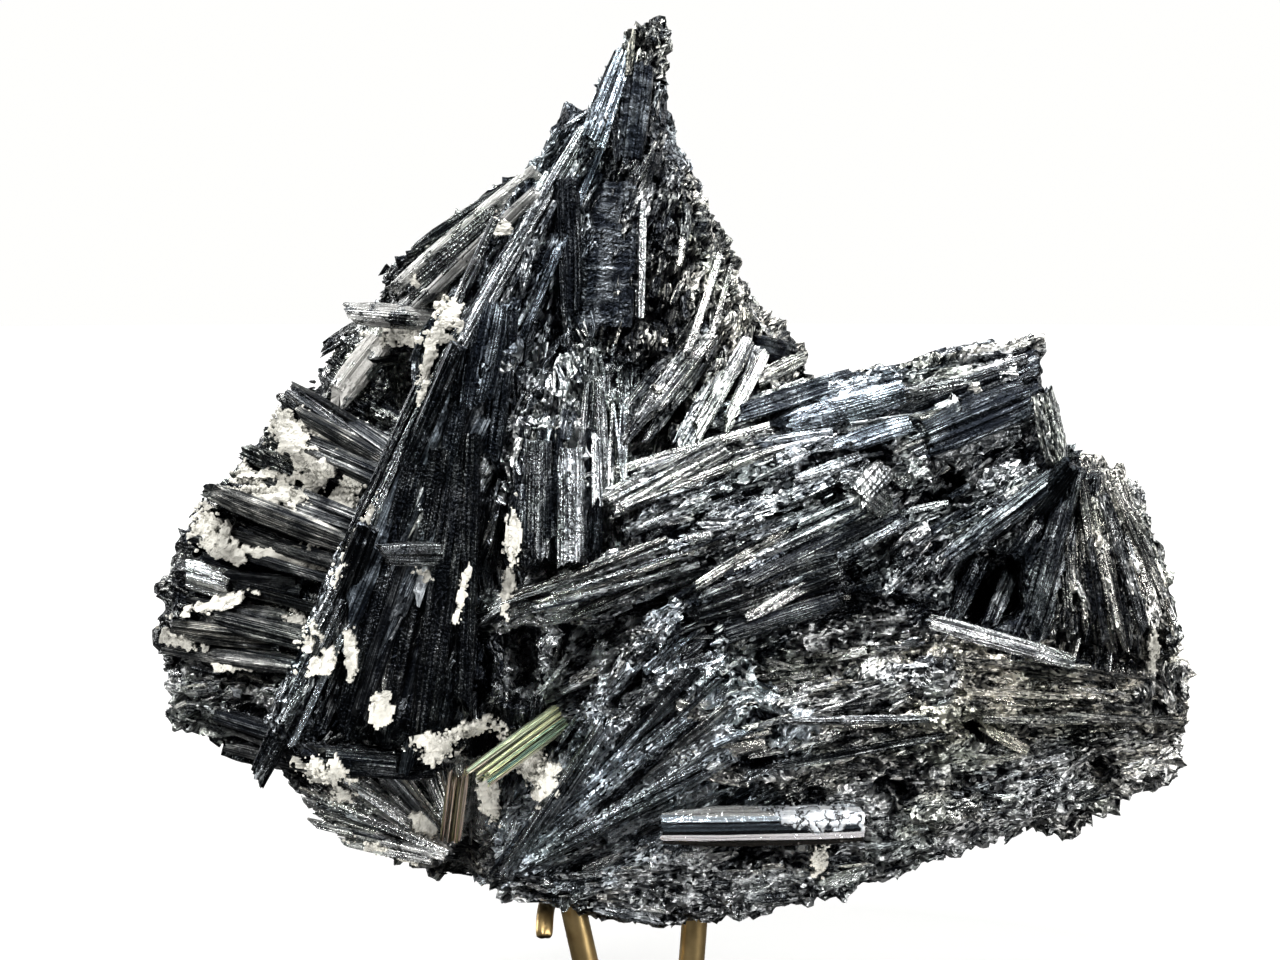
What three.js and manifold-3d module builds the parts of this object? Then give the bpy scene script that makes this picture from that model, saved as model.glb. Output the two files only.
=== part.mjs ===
// Stibnite crystal spray on a bent-rod brass stand. Millimetres, +Z up, -Y towards the viewer.
//
// The specimen is one intergrown mass of lath-shaped crystals: a tall left-hand peak, a lower
// right-hand lobe that lies across its foot, and a rounded lower edge. Crystals that grow through
// each other are joined into crystal_mass. Those that stand free, in a pocket or across a gap, are
// solids of their own, each seated in the mass. Three bent brass rods on a turned foot hold it up.
//
// The origin is the centre of the foot's flat underside. Specimen sizes are given from the
// specimen's own datum, SPECIMEN_LIFT above the origin, where its lowest edge lies.
import * as THREE from "three";
import { ConvexGeometry } from "three/addons/geometries/ConvexGeometry.js";
import { mergeVertices } from "three/addons/utils/BufferGeometryUtils.js";
import Module from "manifold-3d";

// Driving dimensions.
const SPECIMEN_LIFT = 26; // lowest edge of the specimen above the table
const SEAT_GAP = 0.3; // clearance between a piece and the seat it stands in
const ROD_DIAMETER = 4; // the stand's two posts
const ARM_DIAMETER = 2.6; // the stand's thinner rear arm
const FOOT_DIAMETER = 86;
const FOOT_HEIGHT = 6;
const SOCKET_DEPTH = 4; // how deep each rod goes into the foot
const FINEST_EDGE = 0.12; // detail of the joined mass below this is merged away
const SPRAY_SEED = 55433; // chooses how the crystals of the sprays vary

// Materials: measured impressions of colour, roughness and metalness.
const STIBNITE = { color: 0x3b3f45, roughness: 0.35, metalness: 0.9 };
const DARK_FACE = { color: 0x1c2430, roughness: 0.28, metalness: 0.9 };
const COATED = { color: 0x9c9a90, roughness: 0.8, metalness: 0.1 };
const TARNISH = { color: 0x9aa070, roughness: 0.25, metalness: 0.9 };
const BRASS = { color: 0xb08d45, roughness: 0.35, metalness: 1 };

const wasm = await Module();
wasm.setup();

// ---------------------------------------------------------------- geometry helpers

/** A point given from the specimen's datum, as a vector in the part's frame. */
const at = ([x, y, z]) => new THREE.Vector3(x, y, z + SPECIMEN_LIFT);

/** A repeatable source of numbers from -0.5 to 0.5 (a linear congruential generator). */
function wobbleSource(seed) {
  let state = seed;
  return () => {
    state = (state * 1664525 + 1013904223) % 4294967296;
    return state / 4294967296 - 0.5;
  };
}

/** The closed solid inside a three.js geometry. */
function solidOf(geometry) {
  const bare = geometry.index ? geometry.toNonIndexed() : geometry.clone();
  bare.deleteAttribute("normal");
  bare.deleteAttribute("uv");
  const merged = mergeVertices(bare, 1e-4);
  return new wasm.Manifold(
    new wasm.Mesh({
      numProp: 3,
      vertProperties: merged.attributes.position.array,
      triVerts: new Uint32Array(merged.index.array),
    }),
  );
}

/** The three.js geometry of a solid's surface. */
function geometryOf(solid) {
  const { vertProperties, triVerts } = solid.getMesh();
  const geometry = new THREE.BufferGeometry();
  geometry.setAttribute("position", new THREE.BufferAttribute(vertProperties, 3));
  geometry.setIndex(new THREE.BufferAttribute(triVerts, 1));
  geometry.computeVertexNormals();
  return geometry;
}

/** The largest body of a solid, without the slivers that a cut may leave beside it. */
function largestBody(solid) {
  const bodies = solid.decompose();
  return bodies.reduce((a, b) => (a.volume() > b.volume() ? a : b));
}

/** A block with flat faces: the convex hull of its corner points. */
const block = (corners) => solidOf(new ConvexGeometry(corners.map(at)));

/**
 * A lath-shaped crystal: a flattened six-sided prism from root to tip, with a chisel end.
 * roll turns its broad face about its axis, and grow makes the slightly larger tool for its seat.
 */
function crystal({ root, tip, width, thickness, roll = 0, end = 0.45, grow = 0 }) {
  const foot = at(root);
  const head = at(tip);
  const axis = head.clone().sub(foot).normalize();
  const viewer = new THREE.Vector3(0, -1, 0);
  const across = new THREE.Vector3().crossVectors(axis, viewer).normalize();
  across.applyAxisAngle(axis, roll);
  const outward = new THREE.Vector3().crossVectors(across, axis);
  const halfWidth = width / 2 + grow;
  const halfThickness = thickness / 2 + grow;
  const section = [[1, 0], [0.55, 1], [-0.55, 1], [-1, 0], [-0.55, -1], [0.55, -1]];
  const ring = (centre, scale) =>
    section.map(([a, b]) =>
      centre
        .clone()
        .addScaledVector(across, a * halfWidth * scale)
        .addScaledVector(outward, b * halfThickness * scale),
    );
  foot.addScaledVector(axis, -grow);
  head.addScaledVector(axis, grow);
  const shoulder = head.clone().addScaledVector(axis, -0.8 * width);
  return solidOf(new ConvexGeometry([...ring(foot, 1), ...ring(shoulder, 1), ...ring(head, end)]));
}

/** The crystals of one spray, side by side across a span at the root that widens to one at the tip. */
function spray({ root, tip, span: [rootSpan, tipSpan], count, thickness }) {
  const wobble = wobbleSource(SPRAY_SEED + count);
  const axis = new THREE.Vector3(...tip).sub(new THREE.Vector3(...root)).normalize();
  const across = new THREE.Vector3().crossVectors(axis, new THREE.Vector3(0, -1, 0)).normalize();
  const pitch = Math.max(rootSpan, tipSpan) / count;
  return Array.from({ length: count }, (_, i) => {
    const place = (i + 0.5) / count - 0.5;
    const shift = (point, span, along) =>
      new THREE.Vector3(...point)
        .addScaledVector(across, place * span)
        .addScaledVector(axis, along)
        .add(new THREE.Vector3(0, wobble() * thickness * 0.5, 0))
        .toArray();
    return crystal({
      root: shift(root, rootSpan, 0),
      tip: shift(tip, tipSpan, wobble() * 4),
      width: pitch * (1.35 + 0.3 * wobble()),
      thickness: thickness * (1 + 0.4 * wobble()),
      roll: wobble() * 0.5,
    });
  });
}

// ---------------------------------------------------------------- the specimen

// The solid body behind the visible crystals, as faceted blocks that share material.
const BLOCKS = {
  spire: [
    [-6, -1, 134], [-3, 1, 134.5], [-11, -2, 128], [-2, -4, 128], [-1, 4, 126],
    [-14, -3, 119], [-2, -8, 118], [0, 6, 116], [-12, 6, 119],
  ],
  peak: [
    [-14, -3, 120], [-3, -9, 119], [0, 5, 117], [-22, -4, 109], [4, -2, 107], [-12, -12, 106],
    [-5, 12, 108], [-32, -6, 92], [-30, -14, 84], [-8, -17, 84], [8, -11, 90], [14, -1, 90],
    [13, 12, 86], [-5, 20, 82], [-32, 12, 92],
  ],
  eastSlope: [
    [4, -4, 104], [4, 6, 104], [19, -2, 86], [20, 9, 84], [0, -14, 84], [4, -15, 66],
    [22, -4, 76], [20, 12, 70], [-4, 18, 70], [-6, 16, 90],
  ],
  westWing: [
    [-24, 0, 109], [-33, 0, 104.5], [-41, -1, 98.5], [-47.5, -1, 91], [-56, -2, 79], [-67, -3, 67],
    [-75, -4, 57], [-77, -4, 48], [-75.5, -3, 34], [-72, -3, 29], [-46, -7, 24], [-26, 13, 104],
    [-48, 14, 84], [-66, 13, 62], [-71, 10, 40], [-60, 12, 28], [-30, 20, 24], [-20, 22, 60],
    [-30, -12, 60], [-30, -10, 90],
  ],
  ridge: [
    [-14, -7, 113], [-33, -9, 87], [-45, -13, 62], [-54, -15, 40], [-57, -15, 30], [-40, -17, 25],
    [-28, -16, 25], [-25, -18, 50], [-12, -18, 86], [-20, 10, 100], [-40, 10, 30], [-14, 14, 30],
  ],
  centre: [
    [-22, -13, 22], [-8, -16, 18], [-22, -15, 84], [0, -15, 84], [8, -15, 66], [12, -18, 50],
    [-24, 22, 24], [10, 24, 30], [10, 22, 80], [-24, 22, 84],
  ],
  lobeCrest: [
    [20, -8, 80], [28, -9, 82.5], [45, -7, 85], [54, -3, 87], [55, -2, 75], [30, -15, 66],
    [52, -11, 66], [10, -17, 69], [-4, -18, 58], [20, -21, 52], [50, -16, 48], [20, 14, 78],
    [52, 12, 81], [56, 14, 60], [14, 20, 50], [0, 20, 60],
  ],
  lobeCore: [
    [8, -16, 56], [43, -16, 60], [46, -15, 38], [6, -19, 34], [14, 19, 56], [44, 18, 60],
    [46, 18, 36], [12, 18, 34],
  ],
  eastShoulder: [
    [55, -3, 73], [66, -3, 69], [73, -4, 59], [75.5, -5, 50], [77.5, -5, 39], [78.5, -5, 29],
    [75, -5, 21], [64, -9, 14.5], [57, -10, 12.8], [50, -16, 22], [44, -18, 44], [52, -12, 66],
    [58, 13, 68], [72, 12, 54], [75, 12, 30], [60, 16, 17], [40, 20, 20], [40, 22, 60],
  ],
  foot: [
    [52, -14, 14], [30, -16, 8.2], [24, -16, 5], [10, -15, 1.6], [1, -12, 0.2], [-14, -11, 1.4],
    [-26, -7, 4], [-24, -14, 10], [-6, -20, 24], [18, -23, 34], [40, -19, 40], [52, -15, 30], [50, 18, 16],
    [24, 18, 8], [0, 14, 1.5], [-24, 14, 6], [-20, 20, 30], [40, 24, 40],
  ],
  westFoot: [
    [-27, -6, 4], [-37, -6, 6.5], [-46, -5, 10], [-54.5, -5, 15], [-56, -5, 21], [-61.5, -8, 24],
    [-44, -9, 27], [-20, -12, 26], [-30, 12, 7], [-50, 10, 18], [-26, 20, 22],
  ],
};

// Sprays of crystals over the blocks, each fanning from a root span to a tip span.
const SPRAYS = {
  peakCap: { root: [-9, -7, 113], tip: [-4.0, -1, 134.5], span: [10, 3.0], count: 3, thickness: 6 },
  peakEast: { root: [1, -7, 103], tip: [-3, -13, 87], span: [7, 9], count: 3, thickness: 6 },
  eastFlank: { root: [8, -5, 92], tip: [-3, -16, 73], span: [11, 19], count: 5, thickness: 5 },
  eastStep: { root: [18, -3, 84], tip: [9, -12, 76], span: [7, 9], count: 2, thickness: 5 },
  westCrest: { root: [-19, -3, 112], tip: [-43, -3, 94.5], span: [4, 7], count: 2, thickness: 5 },
  westShelf: { root: [-38, -9, 67], tip: [-59.5, -6, 76], span: [8, 8], count: 3, thickness: 7 },
  westMiddle: { root: [-44, -10, 58], tip: [-69.5, -6, 60.5], span: [10, 11], count: 3, thickness: 7 },
  westLower: { root: [-50, -11, 46], tip: [-77.5, -6, 48], span: [13, 15], count: 4, thickness: 7 },
  westFoot: { root: [-56, -11, 35], tip: [-76.5, -6, 36.5], span: [11, 15], count: 4, thickness: 7 },
  westHeel: { root: [-48, -10, 25], tip: [-71, -5, 29.5], span: [6, 6], count: 2, thickness: 6 },
  ridgeUpper: { root: [-12, -8, 120], tip: [-33, -19, 80], span: [6, 14], count: 4, thickness: 7 },
  ridgeLower: { root: [-27, -18, 90], tip: [-55.5, -20, 28], span: [10, 9], count: 3, thickness: 8 },
  darkBlades: { root: [-30, -18, 73], tip: [-43, -21, 27], span: [9, 19], count: 3, thickness: 6 },
  innerBlades: { root: [-22, -15, 79], tip: [-27, -17, 30], span: [9, 15], count: 2, thickness: 6 },
  centreBlock: { root: [-17, -19, 76], tip: [-18, -22, 56], span: [10, 11], count: 3, thickness: 6 },
  lobeTop: { root: [54.5, -4, 84], tip: [24, -11, 77.5], span: [6, 9], count: 3, thickness: 6 },
  lobeBlue: { root: [34, -12, 80], tip: [4, -18, 72.5], span: [9, 8], count: 3, thickness: 6 },
  lobeSilver: { root: [14, -18, 75], tip: [-10.5, -22, 65], span: [4, 4], count: 1, thickness: 5 },
  lobeMiddle: { root: [28, -18, 70], tip: [-5, -24, 59], span: [12, 12], count: 4, thickness: 6 },
  lobeNeedles: { root: [7, -22, 59], tip: [-26, -20, 47], span: [8, 2.5], count: 3, thickness: 3 },
  lobeGreen: { root: [24, -21, 55], tip: [2.5, -26, 48], span: [9, 8], count: 3, thickness: 5 },
  lobeDark: { root: [55, -6, 80], tip: [32, -15, 70], span: [8, 9], count: 3, thickness: 6 },
  fanRim: { root: [59, -8, 71], tip: [34, -18, 55], span: [3, 13], count: 4, thickness: 5 },
  eastFace: { root: [62, -6, 67], tip: [67, -12, 40], span: [9, 18], count: 4, thickness: 6 },
  eastBand: { root: [77, -6, 34], tip: [34, -20, 37], span: [8, 9], count: 3, thickness: 6 },
  eastFoot: { root: [76, -6, 25], tip: [34, -18, 19], span: [8, 10], count: 4, thickness: 6 },
  wave: { root: [34, -19, 35], tip: [4, -25, 29], span: [9, 12], count: 3, thickness: 6 },
  brush: { root: [-27, -9, 6], tip: [9, -26, 42], span: [3, 27], count: 6, thickness: 6 },
  footBand: { root: [-24, -11, 7], tip: [25, -15, 10], span: [4, 9], count: 3, thickness: 7 },
  needleFan: { root: [-33, -9, 11], tip: [-50, -12, 22], span: [2, 15], count: 5, thickness: 2.5 },
  backRidge: { root: [-8, 8, 118], tip: [-38, 17, 62], span: [8, 24], count: 4, thickness: 7 },
  backCentre: { root: [-5, 11, 100], tip: [4, 23, 38], span: [10, 34], count: 4, thickness: 7 },
  backLobe: { root: [53, 10, 80], tip: [10, 20, 62], span: [10, 20], count: 3, thickness: 7 },
  backEast: { root: [65, 12, 64], tip: [58, 17, 24], span: [10, 26], count: 3, thickness: 7 },
  backWest: { root: [-30, 18, 68], tip: [-72, 10, 46], span: [16, 30], count: 4, thickness: 7 },
  backFoot: { root: [-30, 15, 12], tip: [54, 17, 20], span: [8, 14], count: 3, thickness: 7 },
};

// Open pockets between the sprays.
const POCKETS = {
  westHollow: [
    [-45, -14, 87], [-37, -16, 88], [-35, -16, 76], [-42, -16, 75], [-41, 6, 84], [-38, 4, 79],
  ],
  centreHollow: [
    [-29, -30, 47], [-19, -30, 49], [-18, -30, 33], [-28, -30, 33], [-22, 2, 43], [-21, 0, 37],
  ],
  fanHollow: [
    [39, -26, 56], [53, -22, 58], [54, -22, 45], [39, -26, 44], [45, 0, 54], [50, 0, 49],
  ],
  prismHollow: [
    [-4, -32, 21], [26, -30, 20], [27, -30, 11], [2, -30, 10.5], [0, -10, 17], [24, -10, 16],
  ],
  eastPocket: [
    [40, -26, 34], [49, -24, 33.5], [50, -24, 27], [41, -26, 27], [44, -5, 31], [47, -5, 29],
  ],
  footPocket: [
    [60, -22, 27], [68, -20, 26], [68, -20, 19.5], [61, -22, 20], [63, -3, 24], [66, -3, 22],
  ],
};

// Crystals that stand free of the mass. Those without a finish of their own are plain stibnite.
const FREE_CRYSTALS = {
  shelf_crystal: { root: [-32, -6, 90.5], tip: [-48.5, -11, 92], width: 4, thickness: 5, finish: COATED },
  rod_crystal: { root: [-43.5, 4, 92], tip: [-53, -2.5, 86], width: 2.6, thickness: 2.6, finish: DARK_FACE },
  coated_blade: { root: [-40.5, 0, 92], tip: [-50.5, -9, 78.8], width: 4.8, thickness: 3, finish: COATED },
  edge_blade: { root: [-48, -18, 50], tip: [-61.5, -20, 23.5], width: 4, thickness: 5, finish: DARK_FACE },
  ledge_crystal: { root: [-30, -20, 57], tip: [-42, -30, 58], width: 3.6, thickness: 3 },
  step_crystal: { root: [-36, -17, 25], tip: [-53, -25, 28], width: 5, thickness: 6 },
  iridescent_blade: {
    root: [-16.5, -17, 32.5], tip: [-29.5, -25, 24], width: 4.2, thickness: 3, finish: TARNISH,
  },
  iridescent_lath: {
    root: [-33.5, -13, 13], tip: [-31.5, -23, 26], width: 3, thickness: 2.4, finish: TARNISH,
  },
  pocket_prism: { root: [28, -20, 16.8], tip: [-1.5, -23, 16.8], width: 6, thickness: 6, end: 0.9 },
  crossing_blade: { root: [59, -17, 40.5], tip: [34, -25, 48.5], width: 2.8, thickness: 3 },
  fan_blade_1: { root: [50, -5, 62], tip: [41, -16, 46], width: 3, thickness: 2.4, finish: DARK_FACE },
  fan_blade_2: { root: [54.5, -5, 61], tip: [46.5, -15, 45], width: 2.8, thickness: 2.4, finish: DARK_FACE },
  fan_blade_3: { root: [58.5, -5, 59], tip: [52, -14, 44], width: 2.6, thickness: 2.4 },
};

// ---------------------------------------------------------------- the stand

/** A round rod along a smooth curve through the given points of the part's frame. */
function rod(points, diameter, grow = 0) {
  const path = new THREE.CatmullRomCurve3(points.map((p) => new THREE.Vector3(...p)));
  const section = new THREE.Shape();
  const sides = 10;
  const radius = diameter / 2 + grow;
  for (let i = 0; i < sides; i++) {
    const angle = (i * 2 * Math.PI) / sides;
    const corner = [radius * Math.cos(angle), radius * Math.sin(angle)];
    i ? section.lineTo(...corner) : section.moveTo(...corner);
  }
  section.closePath();
  const steps = points.length * 2;
  const options = { extrudePath: path, steps, bevelEnabled: false };
  return solidOf(new THREE.ExtrudeGeometry(section, options));
}

/** The turned foot: a low disc with a coved upper edge, about the Z axis. */
function footDisc() {
  const radius = FOOT_DIAMETER / 2;
  const profile = [
    [0, 0], [radius - 0.8, 0], [radius, 0.8], [radius, 2], [radius - 1.2, 3],
    [radius - 4, 3.6], [radius - 8, FOOT_HEIGHT - 0.6], [radius - 10, FOOT_HEIGHT], [0, FOOT_HEIGHT],
  ];
  const outline = profile.map(([r, z]) => new THREE.Vector2(r, z));
  return solidOf(new THREE.LatheGeometry(outline, 36).rotateX(Math.PI / 2));
}

const SOCKET_FLOOR = FOOT_HEIGHT - SOCKET_DEPTH;
const STAND_RODS = {
  stand_post_left: {
    diameter: ROD_DIAMETER,
    points: [[-11, -7, SOCKET_FLOOR], [-11.2, -7, 10], [-13, -7.5, 18], [-15.5, -8, 29.5]],
  },
  stand_post_right: {
    diameter: ROD_DIAMETER,
    points: [[2, -7, SOCKET_FLOOR], [2.1, -7, 10], [2.8, -7.5, 18], [3.6, -8, 29.5]],
  },
  stand_back_arm: {
    diameter: ARM_DIAMETER,
    points: [
      [-12, 17, SOCKET_FLOOR], [-12.5, 17.5, 10], [-14, 17, 18], [-17, 12, 24.6], [-19, 3, 26.2],
      [-19.2, -7, 27.2], [-19.3, -13, 26.6], [-19.3, -14, 24.4],
    ],
  },
};

// ---------------------------------------------------------------- assembly

const part = new THREE.Group();

/** Adds a named mesh of a solid to the part. */
function addNode(name, solid, finish) {
  const mesh = new THREE.Mesh(geometryOf(solid), new THREE.MeshStandardMaterial(finish));
  mesh.name = name;
  part.add(mesh);
}

let mass = wasm.Manifold.union(Object.values(BLOCKS).map(block));
for (const cluster of Object.values(SPRAYS)) {
  for (const lath of spray(cluster)) mass = mass.add(lath);
}
for (const corners of Object.values(POCKETS)) mass = mass.subtract(block(corners));
for (const lath of Object.values(FREE_CRYSTALS)) {
  mass = mass.subtract(crystal({ ...lath, grow: SEAT_GAP }));
}
let foot = footDisc();
for (const { points, diameter } of Object.values(STAND_RODS)) {
  const tool = rod(points, diameter, SEAT_GAP);
  mass = mass.subtract(tool);
  foot = foot.subtract(tool);
}

addNode("crystal_mass", largestBody(mass.asOriginal().simplify(FINEST_EDGE)), STIBNITE);
for (const [name, { finish = STIBNITE, ...lath }] of Object.entries(FREE_CRYSTALS)) {
  addNode(name, crystal(lath), finish);
}
addNode("stand_foot", largestBody(foot), BRASS);
for (const [name, { points, diameter }] of Object.entries(STAND_RODS)) {
  addNode(name, rod(points, diameter), BRASS);
}

export default part;
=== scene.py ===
"""Stibnite crystal spray on a bent-rod brass stand: the visual model.

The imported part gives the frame. Its crystal_mass is remeshed and grained to make the body of the
specimen, fans of striated laths grow over it along the same directions as the modelled sprays,
and thousands of small laths thatch what is left. The crystals that stand free, the pale druse
and the stand are pieces of their own.

Lengths are in millimetres from the specimen's datum (its lowest edge) until a mesh is made, and
in metres in the part's frame from then on.
"""

import logging
import math
from collections.abc import Callable
from dataclasses import dataclass
from enum import Enum

import bmesh
import bpy
import numpy as np
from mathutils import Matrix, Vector


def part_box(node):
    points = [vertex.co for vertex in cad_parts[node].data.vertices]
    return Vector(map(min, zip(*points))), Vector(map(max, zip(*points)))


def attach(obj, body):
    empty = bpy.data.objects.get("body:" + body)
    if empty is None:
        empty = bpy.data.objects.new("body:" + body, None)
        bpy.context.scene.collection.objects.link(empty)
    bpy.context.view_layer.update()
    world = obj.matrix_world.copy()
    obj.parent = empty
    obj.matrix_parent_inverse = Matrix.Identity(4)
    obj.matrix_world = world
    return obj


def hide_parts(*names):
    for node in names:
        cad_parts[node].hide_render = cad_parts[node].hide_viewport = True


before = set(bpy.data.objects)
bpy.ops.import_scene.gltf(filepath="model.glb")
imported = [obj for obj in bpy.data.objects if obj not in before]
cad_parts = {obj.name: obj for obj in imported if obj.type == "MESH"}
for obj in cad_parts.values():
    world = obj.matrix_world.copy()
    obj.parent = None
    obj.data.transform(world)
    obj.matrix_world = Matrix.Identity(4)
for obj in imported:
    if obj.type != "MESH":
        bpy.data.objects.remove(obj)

log = logging.getLogger("stibnite")

MM = 0.001
LIFT = 26.0  # height of the specimen's datum above the table
SEED = 11
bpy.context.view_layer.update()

Pair = tuple[float, float]
Vec = tuple[float, float, float]
Array = np.ndarray
Rng = np.random.Generator
Piece = bpy.types.Object
Material = bpy.types.Material
Socket = bpy.types.NodeSocket


# ---------------- noise


def lattice_value(cells: Array, seed: int) -> Array:
    """Gives each integer cell a repeatable value from 0 to 1.

    Args:
        cells: Cell numbers, one row of three per point.
        seed: Chooses one of many independent patterns.

    Returns:
        One value per row.
    """
    x, y, z = (cells[:, i].astype(np.int64).astype(np.uint32) for i in range(3))
    h = x * np.uint32(374761393) + y * np.uint32(668265263) + z * np.uint32(1274126177)
    h = h + np.uint32((seed * 2654435761) % 2**32)
    h = (h ^ (h >> np.uint32(13))) * np.uint32(1274126177)
    h = h ^ (h >> np.uint32(16))
    return h / 4294967295.0


def value_noise(points: Array, seed: int = 0) -> Array:
    """Smooth noise: the values of the eight cell corners, eased together by 3t^2 - 2t^3.

    Args:
        points: Places, one row of three per point, in cell units.
        seed: Chooses the pattern.

    Returns:
        One value from 0 to 1 per point.
    """
    base = np.floor(points)
    t = points - base
    t = t * t * (3 - 2 * t)
    total = np.zeros(len(points))
    for corner in np.ndindex(2, 2, 2):
        share = np.prod(np.where(corner, t, 1 - t), axis=1)
        total += share * lattice_value(base + corner, seed)
    return total


def lath_steps(places: Array, width: Array, length: Array, seed: int) -> Array:
    """The relief of a surface built of laths: each is a flat top at a height of its own.

    A lath is one cell across the grain. Along it, cells of the given length follow each other
    from a start of the lath's own, so that the breaks don't line up. Each top slopes a little.

    Args:
        places: Grain coordinates, mm.
        width: Width of a lath at each place.
        length: Length of a lath at each place.
        seed: Chooses the pattern.

    Returns:
        One height from about 0 to 1 per place.
    """
    size = np.stack([length, width, width], 1)
    wave = value_noise(places / (size * (0.6, 4, 4)), seed + 1) - 0.5
    shifted = places + np.stack([wave * 0, wave * width, -wave * width], 1)
    cells = np.floor(shifted / size)
    column = cells.copy()
    column[:, 0] = 0
    slide = lattice_value(column, seed + 2)
    cells[:, 0] = np.floor(places[:, 0] / length + slide)
    slope = (shifted[:, 1] / width - cells[:, 1] - 0.5) * (lattice_value(cells, seed + 3) - 0.5)
    return lattice_value(cells, seed) + 0.8 * slope


def unit(v: Array) -> Array:
    """Scales each row to length one.

    Args:
        v: Rows of three.

    Returns:
        The same directions, of unit length.
    """
    return v / np.maximum(np.linalg.norm(v, axis=-1, keepdims=True), 1e-9)


# ---------------- growth


class Habit(Enum):
    """How the crystals of a spray look."""

    BLADED = "broad smooth laths"
    FIBROUS = "bundles of fine striated fibres"
    STUBBY = "short thick laths, shelved"
    ROUGH = "broken, granular ends"
    NEEDLE = "thin needles"
    DARK = "long dark blades with smooth faces"


@dataclass(frozen=True)
class HabitSize:
    """The measures that go with a habit.

    Attributes:
        width: Least and greatest width of a lath, mm.
        flat: Thickness as a share of width.
        reach: Least and greatest length as a share of the spray's length.
        cover: How many times over the separate laths cover the fan.
        stray: Wander of direction, degrees.
        ragged: Depth of the splinters at the broken ends, mm.
        tone: Mean brightness of the faces, 0 to 1.
        gloss: Mean smoothness, 0 to 1.
        lift: Greatest rise of a lath above the surface, mm.
        step: Width and length of the laths in the body's own relief, mm.
        relief: Height of that relief, mm.
    """

    width: Pair
    flat: float
    reach: Pair
    cover: float
    stray: float
    ragged: float
    tone: float
    gloss: float
    lift: float
    step: Pair
    relief: float


HABITS = {
    Habit.BLADED: HabitSize(
        (1.4, 4.0), 0.5, (0.35, 0.9), 1.0, 4, 1.0, 0.34, 0.5, 0.9, (2.8, 14), 1.8
    ),
    Habit.FIBROUS: HabitSize(
        (0.7, 2.0), 0.7, (0.12, 0.4), 0.5, 7, 1.2, 0.38, 0.25, 0.6, (1.8, 7), 1.8
    ),
    Habit.STUBBY: HabitSize(
        (1.8, 4.0), 0.6, (0.4, 0.8), 1.5, 5, 0.6, 0.2, 0.8, 2.0, (3.0, 12), 2.6
    ),
    Habit.ROUGH: HabitSize(
        (0.7, 1.8), 0.8, (0.06, 0.2), 0.2, 16, 1.0, 0.36, 0.0, 0.5, (2.0, 3.6), 2.0
    ),
    Habit.NEEDLE: HabitSize(
        (0.5, 1.5), 0.7, (0.5, 1.0), 1.8, 4, 0.6, 0.45, 0.6, 1.4, (1.2, 20), 1.4
    ),
    Habit.DARK: HabitSize(
        (2.0, 5.0), 0.45, (0.45, 0.95), 1.3, 2.5, 1.0, 0.08, 0.95, 0.8, (4.2, 30), 1.5
    ),
}


@dataclass(frozen=True)
class Spray:
    """One fan of crystals, from a root span to a tip span.

    Attributes:
        root: Middle of the root, mm.
        tip: Middle of the tips, mm.
        root_span: Width across the roots, mm.
        tip_span: Width across the tips, mm.
        habit: How its crystals look.
        tint: From -1 for brown-grey to 1 for blue.
        thickness: How far its front stands ahead of its line, mm.
        shade: How much brighter it is than its habit.
        polish: How much smoother it is than its habit.
    """

    root: Vec
    tip: Vec
    root_span: float
    tip_span: float
    habit: Habit
    tint: float = 0.0
    thickness: float = 6.0
    shade: float = 0.0
    polish: float = 0.0


H = Habit  # short, for the lists below
PEAK_SPRAYS = [
    Spray((-9, -7, 113), (-4.5, -1, 131), 11, 6, H.FIBROUS, 0.4, shade=-0.27),
    Spray((-5, -5, 129), (-3.5, -1, 136), 5, 4, H.ROUGH, -0.5, shade=-0.3, polish=0.2),
    Spray((-2, -8, 122), (-8, -10, 104), 8, 9, H.FIBROUS, -0.2, shade=-0.32, polish=0.22),
    Spray((1, -7, 108), (-3, -13, 86), 8, 9, H.ROUGH, -0.6, shade=-0.27, polish=0.22),
    Spray((8, -5, 95), (-3, -16, 73), 12, 20, H.ROUGH, -0.6, shade=-0.08, polish=0.22),
    Spray((9, -5, 90), (-2, -17, 71), 12, 20, H.BLADED, -0.2, shade=-0.12),
    Spray((18, -3, 85), (9, -12, 76), 7, 9, H.ROUGH, -0.6, shade=-0.18, polish=0.22),
    Spray((-12, -8, 120), (-33, -19, 80), 6, 14, H.BLADED, 0.5, shade=-0.18),
    Spray((-14, -8, 116), (-26, -19, 88), 8, 14, H.FIBROUS, 0.5, shade=-0.2),
    Spray((-19, -3, 112), (-43, -3, 94.5), 5, 9, H.STUBBY, -0.2),
    Spray((-22, -4, 107), (-42, -6, 86), 7, 12, H.BLADED, -0.2),
    Spray((-18, -19, 86), (-18, -20, 66), 12, 12, H.ROUGH, 0.1),
    Spray((-17, -19, 76), (-18, -22, 56), 11, 12, H.DARK, 0.3),
    Spray((-10, -16, 83), (-10, -17, 63), 6, 5, H.NEEDLE, 0.2),
]
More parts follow.
